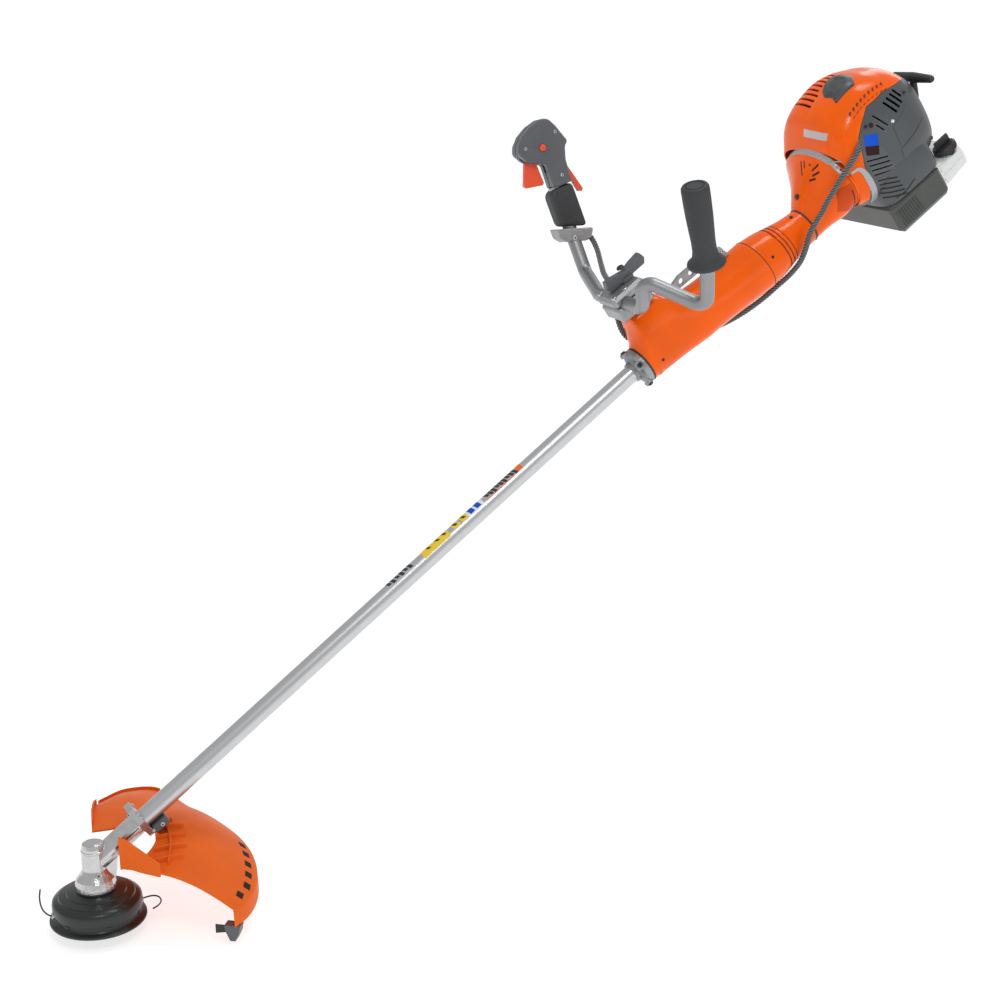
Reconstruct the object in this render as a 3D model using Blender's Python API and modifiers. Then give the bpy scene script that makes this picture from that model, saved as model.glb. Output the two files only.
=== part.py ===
"""A petrol string trimmer with a straight shaft and a cycle handlebar, in metres.

It stands as it hangs from its harness in use: the cutting head is level, +Z is up along the head's
spin axis, the drive tube climbs towards +X at TILT, and +Y is the operator's right hand. The origin
is the second hook hole of the harness rail. Most pieces are placed in the tube's own frame: along
the tube from the point where its axis meets the head's, to the side, and up from the tube.
"""

import math

import bmesh
import bpy
from mathutils import Matrix, Vector

TILT = math.radians(35.0)  # drive tube above the horizontal
TOUCH = 0.0003  # gap between pieces that touch
RUNNING = 0.0005  # gap round a piece that turns or slides

# Drive tube, shaft and bevel gears
TUBE_RADIUS = 0.014
TUBE_WALL = 0.0015
TUBE_START = 0.052
TUBE_END = 1.495
SHAFT_RADIUS = 0.004
SHAFT_START = 0.016
PINION_HUB = 0.0075
DRUM_BACK = 1.5115  # inner face of the clutch drum
BUSH_LENGTH = 0.030
BUSH_PLACES = (0.42, 0.95)
PINION_TEETH = 10
GEAR_TEETH = 14
CONE_LENGTH = 0.0235  # from the meeting point of the axes to the large end of the teeth
TEETH_START = 0.62  # small end of the teeth, as a share of the cone length
SHAFT_ANGLE = math.pi / 2 - TILT

# Gearbox and cutting head, heights above the meeting point of the axes
BARREL_RADIUS = 0.0175
BARREL_TOP = 0.0345
CUP_RADIUS = 0.0300
CUP_BOTTOM = -0.0370
CASE_WALL = 0.0022
SLEEVE_RADIUS = 0.0168
SLEEVE_END = 0.084
OUTPUT_RADIUS = 0.005
HEAD_TOP = -0.0385
HEAD_RADIUS = 0.0660
HEAD_DEPTH = 0.0290
RIM_RADIUS = 0.0710
RIM_HEIGHT = -0.0840
KNOB_RADIUS = 0.0340
KNOB_BOTTOM = -0.1060
KNOB_TRAVEL = 0.006
SPOOL_RADIUS = 0.0520
LINE_RADIUS = 0.0012

# Guard
GUARD_WALL = 0.0028
BLADE_THICKNESS = 0.0015

# Handle shroud and collar, places along the tube
COLLAR_START = 1.1000
COLLAR_FACE = 1.1205
COLLAR_RADIUS = 0.0310
SHROUD_START = 1.1240
SHROUD_SEAM = 1.3710
NECK_SEAM = 1.4775
SHROUD_WALL = 0.0028
NECK_RADIUS = 0.0295
NECK_DROP = 0.0120  # the neck's centre below the tube's axis
SEAM_RADIUS = 0.0450
SEAM_DROP = 0.0055

# Handlebar and its clamp
BAR_RADIUS = 0.011
CLAMP_ALONG = 1.148
CLAMP_UP = 0.110
CLAMP_HALF_WIDTH = 0.029
CLAMP_HALF_LENGTH = 0.019
CLAMP_FOOT = 0.0850
KNOB_ALONG = 1.180
GRIP_RADIUS = 0.0205
GRIP_LENGTH = 0.128
BAR_LEFT = (
    (CLAMP_ALONG, -0.080, CLAMP_UP),
    (1.166, -0.090, 0.156),
    (1.200, -0.168, 0.086),
    (1.217, -0.211, 0.157),
    (1.256, -0.234, 0.276),
)
BAR_RIGHT = (
    (CLAMP_ALONG, 0.060, CLAMP_UP),
    (1.186, 0.172, 0.103),
    (1.217, 0.211, 0.157),
    (1.256, 0.234, 0.276),
)
BAR_BEND = 0.022  # radius of the tube's bends at their centre line

# Harness rail
RAIL_START = 1.229
RAIL_END = 1.336
RAIL_UP = 0.0635
RAIL_HEIGHT = 0.0170
RAIL_THICKNESS = 0.005
HOOK_HOLE_RADIUS = 0.0048
HOOK_HOLES = (1.251, 1.272, 1.293, 1.314)
HOOK_ORIGIN = 1.272

# Throttle cable sleeve, in the tube's frame
CABLE_RADIUS = 0.0045
CABLE_UPPER = (
    (1.2330, 0.2035, 0.1400), (1.2360, 0.1990, 0.1290), (1.2270, 0.1800, 0.1160), (1.209, 0.150, 0.107),
    (1.193, 0.118, 0.106), (1.182, 0.088, 0.105), (1.172, 0.064, 0.098), (1.160, 0.051, 0.085),
    (1.148, 0.046, 0.068), (1.141, 0.043, 0.050), (1.140, 0.041, 0.034), (1.145, 0.042, 0.018),
)
CABLE_LOWER = (
    (1.1495, 0.0425, 0.0095), (1.158, 0.045, 0.000), (1.180, 0.048, -0.016), (1.210, 0.046, -0.032),
    (1.245, 0.036, -0.048), (1.280, 0.022, -0.057), (1.315, 0.010, -0.0605), (1.350, 0.002, -0.0610),
    (1.380, -0.006, -0.0575), (1.405, -0.018, -0.0510), (1.425, -0.032, -0.0390), (1.440, -0.042, -0.0230),
    (1.455, -0.048, -0.0060), (1.470, -0.053, 0.0050), (1.486, -0.060, 0.0150), (1.501, -0.067, 0.0270),
    (1.516, -0.075, 0.0380), (1.531, -0.083, 0.0490), (1.548, -0.090, 0.0590), (1.567, -0.096, 0.0690),
    (1.583, -0.099, 0.0770), (1.595, -0.099, 0.0820),
)

# Throttle handle
HANDLE_WIDTH = 0.036
LEVER_WIDTH = 0.0085
TRIGGER_PIVOT = (-0.0200, 0.1320)
LOCKOUT_PIVOT = (0.0262, 0.1040)
BUTTON_PLACE = (-0.0033, 0.1438)
BUTTON_RADIUS = 0.0055

# Power unit, places along the tube and up from it
BAND_ALONG = 1.5450
BAND_WIDTH = 0.0070
ENGINE_WALL = 0.0028
CYLINDER_ALONG = 1.625
SHELL_END = 1.738
DRUM_RADIUS = 0.0260
FLYWHEEL_RADIUS = 0.0380
BORE_RADIUS = 0.0210
PULLEY_RADIUS = 0.0260
CRANK_RADIUS = 0.006
CRANK_THROW = 0.014
HUB_START = DRUM_BACK + 0.0085  # the clutch shoes' hub on the crankshaft
HUB_END = DRUM_BACK + 0.0225
HUB_RADIUS = 0.020
CAP_RADIUS = 0.0190
CAP_PLACE = (1.7350, -0.0490, -0.0595)
ROPE_GUIDE = (1.7450, -0.0150, 0.0180)
ROPE_PULL = (0.379, 0.0, 0.926)
BULB_PLACE = (1.7370, 0.0180, -0.0080)
CHOKE_PLACE = (1.7408, 0.0200, 0.0260)

ORANGE = (0.90, 0.16, 0.01, 1.0)
GUARD_ORANGE = (0.80, 0.15, 0.02, 1.0)
RED_ORANGE = (0.75, 0.06, 0.01, 1.0)
DARK_GREY = (0.075, 0.082, 0.092, 1.0)
BLACK = (0.012, 0.013, 0.014, 1.0)
RUBBER = (0.025, 0.028, 0.030, 1.0)
LIGHT_GREY = (0.36, 0.37, 0.38, 1.0)
SILVER = (0.62, 0.63, 0.65, 1.0)
STEEL = (0.42, 0.42, 0.44, 1.0)
WHITE = (0.80, 0.81, 0.80, 1.0)


def clear_scene():
    for obj in list(bpy.data.objects):
        bpy.data.objects.remove(obj, do_unlink=True)


def new_collection(name):
    collection = bpy.data.collections.new(name)
    bpy.context.scene.collection.children.link(collection)
    return collection


def make_material(name, colour, roughness, metallic=0.0):
    material = bpy.data.materials.new(name)
    material.use_nodes = True
    shader = material.node_tree.nodes["Principled BSDF"]
    shader.inputs["Base Color"].default_value = colour
    shader.inputs["Roughness"].default_value = roughness
    shader.inputs["Metallic"].default_value = metallic
    return material


class Maker:
    """Makes mesh objects in the trimmer's collection, under one of its two frames."""

    def __init__(self, parts, cutters):
        self.parts = parts
        self.cutters = cutters

    def add(self, name, mesh, look, parent, at=(0, 0, 0), turn=(0, 0, 0)):
        """Links a mesh or curve as a part when it has a look, or else as a cutter."""
        obj = bpy.data.objects.new(name, mesh)
        obj.parent = parent
        obj.location = at
        obj.rotation_euler = turn
        if look is None:
            obj.hide_render = True
            obj.display_type = "WIRE"
            self.cutters.objects.link(obj)
        else:
            obj.data.materials.append(make_material(name, *look))
            self.parts.objects.link(obj)
        return obj

    def turned(self, name, profile, look, parent, at=(0, 0, 0), turn=(0, 0, 0), steps=24, ring=False):
        """A profile of (radius, height) turned about local Z. It runs down its outer side."""
        mesh = bpy.data.meshes.new(name)
        edges = [(i, i + 1) for i in range(len(profile) - 1)]
        if ring:
            edges.append((len(profile) - 1, 0))
        mesh.from_pydata([(radius, 0.0, height) for radius, height in profile], edges, [])
        obj = self.add(name, mesh, look, parent, at, turn)
        screw = obj.modifiers.new("Turned", "SCREW")
        screw.steps = steps
        screw.render_steps = steps
        screw.use_merge_vertices = True
        screw.merge_threshold = 0.00001
        screw.use_smooth_shade = False
        return obj

    def loft(self, name, rings, look, parent, wall=0.0, capped=False, turn=(0, 0, 0)):
        """A solid through closed rings of points, or a shell with a wall inwards that capped closes at its end."""
        form = bmesh.new()
        rows = [[form.verts.new(point) for point in ring] for ring in rings]
        count = len(rows[0])
        for low, high in zip(rows, rows[1:]):
            for i in range(count):
                j = (i + 1) % count
                form.faces.new((low[i], low[j], high[j], high[i]))
        if wall == 0.0:
            form.faces.new(list(reversed(rows[0])))
        if wall == 0.0 or capped:
            form.faces.new(rows[-1])
        if wall == 0.0:
            bmesh.ops.recalc_face_normals(form, faces=form.faces)
        obj = self.add(name, mesh_of(form, name), look, parent, turn=turn)
        if wall > 0.0:
            thicken(obj, wall)
        return obj

    def plate(self, name, outline, thickness, look, parent, at=(0, 0, 0), turn=(0, 0, 0)):
        """A flat outline in local XY, thickened equally up and down along local Z."""
        form = bmesh.new()
        corners = [form.verts.new((x, y, -thickness / 2)) for x, y in outline]
        face = form.faces.new(corners)
        made = bmesh.ops.extrude_face_region(form, geom=[face])["geom"]
        lifted = [item for item in made if isinstance(item, bmesh.types.BMVert)]
        bmesh.ops.translate(form, verts=lifted, vec=(0, 0, thickness))
        bmesh.ops.recalc_face_normals(form, faces=form.faces)
        return self.add(name, mesh_of(form, name), look, parent, at, turn)

    def block(self, name, size, look, parent, at=(0, 0, 0), turn=(0, 0, 0), bevel=0.0):
        form = bmesh.new()
        bmesh.ops.create_cube(form, size=1.0)
        bmesh.ops.scale(form, verts=form.verts, vec=size)
        obj = self.add(name, mesh_of(form, name), look, parent, at, turn)
        if bevel > 0.0:
            soften(obj, bevel)
        return obj

    def rod(self, name, points, radius, look, parent, resolution=3):
        """A round bar or wire along a list of points, with filled ends."""
        curve = bpy.data.curves.new(name, "CURVE")
        curve.dimensions = "3D"
        curve.bevel_depth = radius
        curve.bevel_resolution = resolution
        curve.use_fill_caps = True
        spline = curve.splines.new("POLY")
        spline.points.add(len(points) - 1)
        for point, place in zip(spline.points, points):
            point.co = (*place, 1.0)
        return self.add(name, curve, look, parent)


def mesh_of(form, name):
    mesh = bpy.data.meshes.new(name)
    form.to_mesh(mesh)
    form.free()
    return mesh


def thicken(obj, wall):
    solidify = obj.modifiers.new("Wall", "SOLIDIFY")
    solidify.thickness = wall
    solidify.offset = -1.0


def soften(obj, width, segments=1):
    bevel = obj.modifiers.new("Edges", "BEVEL")
    bevel.width = width
    bevel.segments = segments
    bevel.limit_method = "ANGLE"


def combine(obj, other, operation="DIFFERENCE"):
    boolean = obj.modifiers.new(other.name, "BOOLEAN")
    boolean.operation = operation
    boolean.solver = "EXACT"
    boolean.object = other


def meshed(obj):
    """Turns a curve into a closed mesh of the same name, so that it can cut or be cut."""
    graph = bpy.context.evaluated_depsgraph_get()
    mesh = bpy.data.meshes.new_from_object(obj.evaluated_get(graph))
    form = bmesh.new()
    form.from_mesh(mesh)
    bmesh.ops.remove_doubles(form, verts=form.verts, dist=0.000001)
    form.to_mesh(mesh)
    form.free()
    name, parent, home, hidden = obj.name, obj.parent, obj.users_collection[0], obj.hide_render
    place = obj.matrix_local.copy()
    bpy.data.objects.remove(obj)
    solid = bpy.data.objects.new(name, mesh)
    solid.parent = parent
    solid.matrix_local = place
    solid.hide_render = hidden
    home.objects.link(solid)
    return solid


def oval(along, bottom, top, half_width, power=2.0, count=24, side=0.0, waist=None):
    """A closed section across the tube. Its widest point lies at waist, or midway up."""
    middle = (bottom + top) / 2 if waist is None else waist
    ring = []
    for i in range(count):
        turn = math.tau * i / count
        c, s = math.cos(turn), math.sin(turn)
        y = half_width * math.copysign(abs(c) ** (2 / power), c)
        reach = (top - middle) if s >= 0 else (middle - bottom)
        ring.append((along, side + y, middle + reach * math.copysign(abs(s) ** (2 / power), s)))
    return ring


def bent(points, bend, steps=4):
    """A path through points with each inner corner rounded to the given radius."""
    places = [Vector(p) for p in points]
    path = [places[0]]
    for before, corner, after in zip(places, places[1:], places[2:]):
        inward = (before - corner).normalized()
        outward = (after - corner).normalized()
        half = inward.angle(outward) / 2
        reach = min(bend / math.tan(half), 0.48 * (before - corner).length, 0.48 * (after - corner).length)
        start, end = corner + inward * reach, corner + outward * reach
        for i in range(steps + 1):
            t = i / steps
            path.append(start * (1 - t) ** 2 + corner * 2 * t * (1 - t) + end * t**2)
    path.append(places[-1])
    return path


def smooth_path(points, parts=2):
    """Points of a Catmull-Rom curve through the route's own points."""
    places = [Vector(p) for p in points]
    ends = [2 * places[0] - places[1], *places, 2 * places[-1] - places[-2]]
    path = []
    for a, b, c, d in zip(ends, ends[1:], ends[2:], ends[3:]):
        for i in range(parts):
            t = i / parts
            path.append(
                0.5 * (2 * b + (c - a) * t + (2 * a - 5 * b + 4 * c - d) * t**2 + (3 * b - a - 3 * c + d) * t**3)
            )
    path.append(places[-1])
    return path


def table_value(table, key):
    """Linear reading of a table of (key, value) rows in rising order."""
    for (k0, v0), (k1, v1) in zip(table, table[1:]):
        if key <= k1:
            return v0 + (v1 - v0) * (key - k0) / (k1 - k0)
    return table[-1][1]


ALONG = (0.0, math.pi / 2, 0.0)  # turns local Z along the tube
ACROSS = (-math.pi / 2, 0.0, 0.0)  # turns local Z towards the operator's right
UPRIGHT_PLATE = (math.pi / 2, 0.0, 0.0)  # turns a plate's local Y upwards

ALLOY_LOOK = (SILVER, 0.28, 1.0)
STEEL_LOOK = (STEEL, 0.35, 1.0)
CAST_LOOK = (LIGHT_GREY, 0.45, 0.6)
ORANGE_LOOK = (ORANGE, 0.18, 0.0)
GUARD_LOOK = (GUARD_ORANGE, 0.45, 0.0)
TRIGGER_LOOK = (RED_ORANGE, 0.35, 0.0)
DARK_LOOK = (DARK_GREY, 0.40, 0.0)
BLACK_LOOK = (BLACK, 0.35, 0.0)
RUBBER_LOOK = (RUBBER, 0.70, 0.0)
TRIM_LOOK = (LIGHT_GREY, 0.35, 0.0)
WHITE_LOOK = (WHITE, 0.35, 0.0)


def build_drive_line(maker, tube):
    """The tube with the shaft that turns in it, its bushes and the pinion on its lower end."""
    inner = TUBE_RADIUS - TUBE_WALL
    maker.turned("drive_tube", ring_profile(TUBE_RADIUS, inner, TUBE_END, TUBE_START), ALLOY_LOOK, tube,
                 turn=ALONG, steps=24, ring=True)
    shaft = [(0, DRUM_BACK + 0.0025), (SHAFT_RADIUS, DRUM_BACK + 0.0025), (SHAFT_RADIUS, SHAFT_START),
             (0, SHAFT_START)]
    maker.turned("drive_shaft", shaft, STEEL_LOOK, tube, turn=ALONG, steps=16)
    for number, place in enumerate(BUSH_PLACES, 1):
        bush = ring_profile(inner - TOUCH, SHAFT_RADIUS + TOUCH, place + BUSH_LENGTH, place)
        maker.turned(f"shaft_bush_{number}", bush, BLACK_LOOK, tube, turn=ALONG, steps=12, ring=True)
    pinion = bevel_gear(maker, "pinion_gear", PINION_TEETH, SHAFT_RADIUS + TOUCH, tube, ALONG, 0.0)
    hub_end = SLEEVE_END - 0.042
    hub = maker.turned("pinion_hub", [(0, hub_end), (PINION_HUB, hub_end), (PINION_HUB, 0.0205), (0, 0.0205)],
                       None, tube, turn=ALONG, steps=16)
    bore = maker.turned("pinion_bore", [(0, 0.06), (SHAFT_RADIUS + TOUCH, 0.06), (SHAFT_RADIUS + TOUCH, 0.005),
                                        (0, 0.005)], None, tube, turn=ALONG, steps=16)
    combine(pinion, hub, "UNION")
    combine(pinion, bore)


def ring_profile(outer, inner, top, bottom):
    """A plain ring's section, down its outer side and up its bore."""
    return [(outer, top), (outer, bottom), (inner, bottom), (inner, top)]


def pitch_angles():
    """Pitch cone angles of the pinion and of the driven gear."""
    ratio = GEAR_TEETH / PINION_TEETH
    pinion = math.atan(math.sin(SHAFT_ANGLE) / (math.cos(SHAFT_ANGLE) + ratio))
    return pinion, SHAFT_ANGLE - pinion


def bevel_gear(maker, name, teeth, bore, parent, turn, phase):
    """Straight bevel teeth whose cones all meet at the crossing of the two shafts."""
    pitch = pitch_angles()[0 if teeth == PINION_TEETH else 1]
    module = 2 * math.sin(pitch) / teeth
    root, tip = pitch - 0.55 * module - 0.012, pitch + 0.45 * module
    rings = []
    for share in (TEETH_START, 1.0):
        height = CONE_LENGTH * math.cos(pitch) * share
        ring = []
        for tooth in range(teeth):
            middle = math.tau * tooth / teeth + phase
            step = math.tau / teeth
            for offset, cone in ((-0.27, root), (-0.10, tip), (0.10, tip), (0.27, root)):
                turned = middle + offset * step
                reach = height * math.tan(cone)
                ring.append((reach * math.cos(turned), reach * math.sin(turned), height))
        rings.append(ring)
    return maker.loft(name, rings, STEEL_LOOK, parent, turn=turn)


def build_gearbox(maker, level, tube):
    """The angled gear case in the cutting head's frame, its driven gear, output shaft and bearing."""
    outer = [(0, BARREL_TOP), (0.0110, BARREL_TOP), (0.0155, BARREL_TOP - 0.0022), (BARREL_RADIUS - 0.0005, 0.0270),
             (BARREL_RADIUS + 0.0008, -0.0070), (0.0215, -0.0140), (0.0280, -0.0225), (CUP_RADIUS, -0.0300),
             (CUP_RADIUS, CUP_BOTTOM), (0, CUP_BOTTOM)]
    case = maker.turned("gearbox_housing", outer, ALLOY_LOOK, level, steps=24)
    sleeve = maker.turned("sleeve_form", [(0, SLEEVE_END), (SLEEVE_RADIUS, SLEEVE_END), (SLEEVE_RADIUS, 0.006),
                                          (0, 0.006)], None, tube, turn=ALONG, steps=24)
    web = maker.plate("web_form", [(0.004, -0.028), (0.027, -0.028), (0.031, -0.012), (0.0335, 0.010),
                                   (0.046, 0.026), (0.030, 0.036), (0.006, 0.020)], 0.0200, None, level,
                      turn=UPRIGHT_PLATE)
    chamber = BARREL_RADIUS - CASE_WALL + 0.0001
    seat = OUTPUT_RADIUS + 0.0075
    inside = maker.turned("gear_chamber", [(0, 0.0312), (chamber, 0.0312), (chamber, 0.0100), (seat, 0.0100),
                                           (seat, -0.0280), (CUP_RADIUS - 0.0028, -0.0320),
                                           (CUP_RADIUS - 0.0028, -0.0400), (0, -0.0400)], None, level, steps=24)
    socket = TUBE_RADIUS + TOUCH
    throat = maker.turned("tube_socket", [(0, SLEEVE_END + 0.01), (socket, SLEEVE_END + 0.01),
                                          (socket, TUBE_START - TOUCH), (0.0126, TUBE_START - TOUCH),
                                          (0.0126, 0.0130), (0, 0.0130)], None, tube, turn=ALONG, steps=24)
    for form in (sleeve, web):
        combine(case, form, "UNION")
    for form in (inside, throat):
        combine(case, form)

    gear = bevel_gear(maker, "driven_gear", GEAR_TEETH, OUTPUT_RADIUS + TOUCH, level, (0, 0, 0),
                      math.pi / GEAR_TEETH)
    back = CONE_LENGTH * math.cos(pitch_angles()[1])
    hub = maker.turned("gear_hub", [(0, back + 0.0070), (0.0095, back + 0.0070), (0.0095, back - 0.002),
                                    (0, back - 0.002)], None, level, steps=16)
    bore = OUTPUT_RADIUS + TOUCH
    hole = maker.turned("gear_bore", [(0, 0.040), (bore, 0.040), (bore, 0.002), (0, 0.002)], None, level,
                        steps=16)
    combine(gear, hub, "UNION")
    combine(gear, hole)
    shaft_foot = HEAD_TOP - 0.0115
    maker.turned("output_shaft", [(0, back + 0.0075), (OUTPUT_RADIUS, back + 0.0075), (OUTPUT_RADIUS, -0.0300),
                                  (0.0105, -0.0305), (0.0105, HEAD_TOP + TOUCH), (OUTPUT_RADIUS, HEAD_TOP + TOUCH),
                                  (OUTPUT_RADIUS, shaft_foot), (0, shaft_foot)], STEEL_LOOK, level, steps=16)
    maker.turned("output_bearing", ring_profile(seat - TOUCH, OUTPUT_RADIUS + RUNNING, -0.0100, -0.0220),
                 STEEL_LOOK, level, steps=20, ring=True)


def build_cutting_head(maker, level):
    """The line head: its two shells, the spool, the bump knob with its spring, and two line ends."""
    hole = OUTPUT_RADIUS + TOUCH
    split = HEAD_TOP - HEAD_DEPTH
    shell = [(0.0285, HEAD_TOP), (0.0295, HEAD_TOP - 0.0045), (0.0440, HEAD_TOP - 0.0070),
             (0.0455, HEAD_TOP - 0.0092), (0.0560, HEAD_TOP - 0.0112), (0.0575, HEAD_TOP - 0.0132),
             (HEAD_RADIUS - 0.0020, HEAD_TOP - 0.0158), (HEAD_RADIUS, HEAD_TOP - 0.0205),
             (HEAD_RADIUS - 0.0004, split), (HEAD_RADIUS - 0.0062, split),
             (HEAD_RADIUS - 0.0062, HEAD_TOP - 0.0215), (0.0540, HEAD_TOP - 0.0180),
             (0.0300, HEAD_TOP - 0.0125), (hole, HEAD_TOP - 0.0105), (hole, HEAD_TOP)]
    maker.turned("head_housing", shell, BLACK_LOOK, level, steps=26, ring=True)
    opening = KNOB_RADIUS + 0.0030
    cover_top = split - TOUCH
    cover = [(HEAD_RADIUS - 0.0040, cover_top), (HEAD_RADIUS - 0.0035, cover_top - 0.0085),
             (RIM_RADIUS - 0.0050, RIM_HEIGHT + 0.0040), (RIM_RADIUS, RIM_HEIGHT), (RIM_RADIUS, RIM_HEIGHT - 0.0035),
             (RIM_RADIUS - 0.0022, RIM_HEIGHT - 0.0062), (0.0560, RIM_HEIGHT - 0.0092),
             (opening + 0.0040, RIM_HEIGHT - 0.0105), (opening, RIM_HEIGHT - 0.0105), (opening, RIM_HEIGHT - 0.0080),
             (0.0560, RIM_HEIGHT - 0.0065), (HEAD_RADIUS - 0.0065, RIM_HEIGHT - 0.0025),
             (HEAD_RADIUS - 0.0065, cover_top)]
    maker.turned("head_cover", cover, BLACK_LOOK, level, steps=26, ring=True)
    spool_top, spool_foot = HEAD_TOP - 0.0258, RIM_HEIGHT - 0.0045
    spool = [(SPOOL_RADIUS, spool_top), (SPOOL_RADIUS, spool_top - 0.0020), (0.0220, spool_top - 0.0020),
             (0.0220, spool_foot + 0.0020), (SPOOL_RADIUS, spool_foot + 0.0020), (SPOOL_RADIUS, spool_foot),
             (0.0080, spool_foot), (0.0080, spool_top)]
    maker.turned("line_spool", spool, DARK_LOOK, level, steps=24, ring=True)
    stem_top = HEAD_TOP - 0.0215
    knob = [(0, stem_top), (0.0070, stem_top), (0.0070, spool_foot - 0.0010), (KNOB_RADIUS, spool_foot - 0.0010),
            (KNOB_RADIUS, KNOB_BOTTOM + 0.0060), (KNOB_RADIUS - 0.0050, KNOB_BOTTOM + 0.0010),
            (0.0200, KNOB_BOTTOM), (0, KNOB_BOTTOM)]
    maker.turned("bump_knob", knob, BLACK_LOOK, level, steps=24)
    coils, points = 2.5, 26
    spring_top, spring_foot = HEAD_TOP - 0.0142, spool_top + 0.0013
    path = []
    for i in range(points):
        share = i / (points - 1)
        turn = math.tau * coils * share
        path.append((0.0135 * math.cos(turn), 0.0135 * math.sin(turn),
                     spring_foot + (spring_top - spring_foot) * share))
    maker.rod("bump_spring", path, 0.0008, STEEL_LOOK, level, resolution=2)
    exit_radius = HEAD_RADIUS - 0.0030
    exit_height = split - 0.0050
    left = [(-exit_radius, 0.006, exit_height), (-0.0700, 0.0080, exit_height + 0.0010),
            (-0.0770, 0.0120, exit_height + 0.0080), (-0.0795, 0.0170, exit_height + 0.0170),
            (-0.0790, 0.0220, exit_height + 0.0270), (-0.0760, 0.0270, exit_height + 0.0360)]
    right = [(exit_radius, -0.004, exit_height), (0.0740, -0.0030, exit_height + 0.0010),
             (0.0835, -0.0050, exit_height + 0.0015), (0.0895, -0.0120, exit_height + 0.0010),
             (0.0890, -0.0240, exit_height), (0.0810, -0.0350, exit_height), (0.0720, -0.0405, exit_height)]
    maker.rod("cutting_line_left", smooth_path(left), LINE_RADIUS, BLACK_LOOK, level, resolution=1)
    maker.rod("cutting_line_right", smooth_path(right), LINE_RADIUS, BLACK_LOOK, level, resolution=1)


# Guard: angle about the head's axis from the engine side, inner radius and height, rim radius and
# height, and depth of the skirt below the rim.
GUARD_STATIONS = (
    (-41, 0.050, -0.002, 0.216, -0.046, 0.030),
    (-33, 0.058, 0.002, 0.226, -0.045, 0.028),
    (-22, 0.078, 0.012, 0.232, -0.040, 0.026),
    (-8, 0.092, 0.024, 0.233, -0.031, 0.024),
    (6, 0.096, 0.029, 0.229, -0.021, 0.024),
    (20, 0.086, 0.031, 0.224, -0.012, 0.024),
    (34, 0.062, 0.032, 0.224, -0.006, 0.024),
    (46, 0.050, 0.032, 0.243, -0.003, 0.024),
    (54, 0.046, 0.032, 0.256, -0.001, 0.022),
    (63, 0.043, 0.032, 0.245, 0.000, 0.016),
    (70, 0.042, 0.032, 0.212, 0.001, 0.010),
    (77, 0.041, 0.032, 0.181, 0.002, 0.006),
)
GUARD_CROWN = 0.010


def guard_row(station):
    """Points of the guard's skin from its inner edge out over the rim and down the skirt."""
    angle, inner, inner_up, rim, rim_up, skirt = station
    turn = math.radians(angle)
    row = []
    for share in (0.0, 0.16, 0.34, 0.52, 0.70, 0.86, 0.96, 1.0):
        radius = inner + (rim - inner) * share
        up = inner_up + (rim_up - inner_up) * share**1.5 + GUARD_CROWN * math.sin(math.pi * share**1.2)
        row.append((radius, up))
    row.append((rim + 0.0025, rim_up - 0.25 * skirt))
    row.append((rim + 0.0040, rim_up - skirt))
    return [(r * math.cos(turn), r * math.sin(turn), up) for r, up in row]


def build_guard(maker, level, tube):
    """The guard behind the head, its steel bracket on the tube, and the line cutter at its end."""
    form = bmesh.new()
    rows = [[form.verts.new(p) for p in guard_row(station)] for station in GUARD_STATIONS]
    for a, b in zip(rows, rows[1:]):
        for i in range(len(a) - 1):
            form.faces.new((a[i], a[i + 1], b[i + 1], b[i]))
    guard = maker.add("guard", mesh_of(form, "guard"), GUARD_LOOK, level)
    thicken(guard, GUARD_WALL)

    bracket = maker.plate("guard_bracket", [(-0.0300, -0.0130), (-0.0300, 0.0130), (-0.0060, 0.0210),
                                            (0.0220, 0.0130), (0.0262, 0.0090), (0.0262, -0.0090),
                                            (0.0220, -0.0130), (-0.0060, -0.0210)], 0.0100, STEEL_LOOK, tube,
                          at=(SLEEVE_END + 0.0058, 0, 0), turn=ALONG)
    hole = maker.turned("bracket_hole", [(0, 0.02), (TUBE_RADIUS + TOUCH, 0.02), (TUBE_RADIUS + TOUCH, -0.02),
                                         (0, -0.02)], None, tube, at=(SLEEVE_END + 0.0058, 0, 0), turn=ALONG,
                        steps=24)
    combine(bracket, hole)


def build_line_cutter(maker, level):
    """The cutter's holder under the guard's near end, and its blade."""
    angle = math.radians(GUARD_STATIONS[0][0] + 2.5)
    rim, rim_up, skirt = GUARD_STATIONS[0][3], GUARD_STATIONS[0][4], GUARD_STATIONS[0][5]
    foot = rim_up - skirt
    place = ((rim - 0.004) * math.cos(angle), (rim - 0.004) * math.sin(angle), foot - TOUCH)
    maker.plate("cutter_holder", [(-0.0120, 0.0), (-0.0105, -0.0100), (-0.0040, -0.0245), (0.0040, -0.0245),
                                  (0.0100, -0.0120), (0.0125, 0.0)], 0.0160, DARK_LOOK, level, at=place,
                turn=(math.pi / 2, 0.0, angle))
    maker.plate("line_cutter", [(-0.0285, -0.0040), (-0.0285, -0.0180), (-0.0110 - TOUCH * 2, -0.0150),
                                (-0.0125 - TOUCH * 2, -0.0040)], BLADE_THICKNESS, STEEL_LOOK, level, at=place,
                turn=(math.pi / 2, 0.0, angle))


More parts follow.
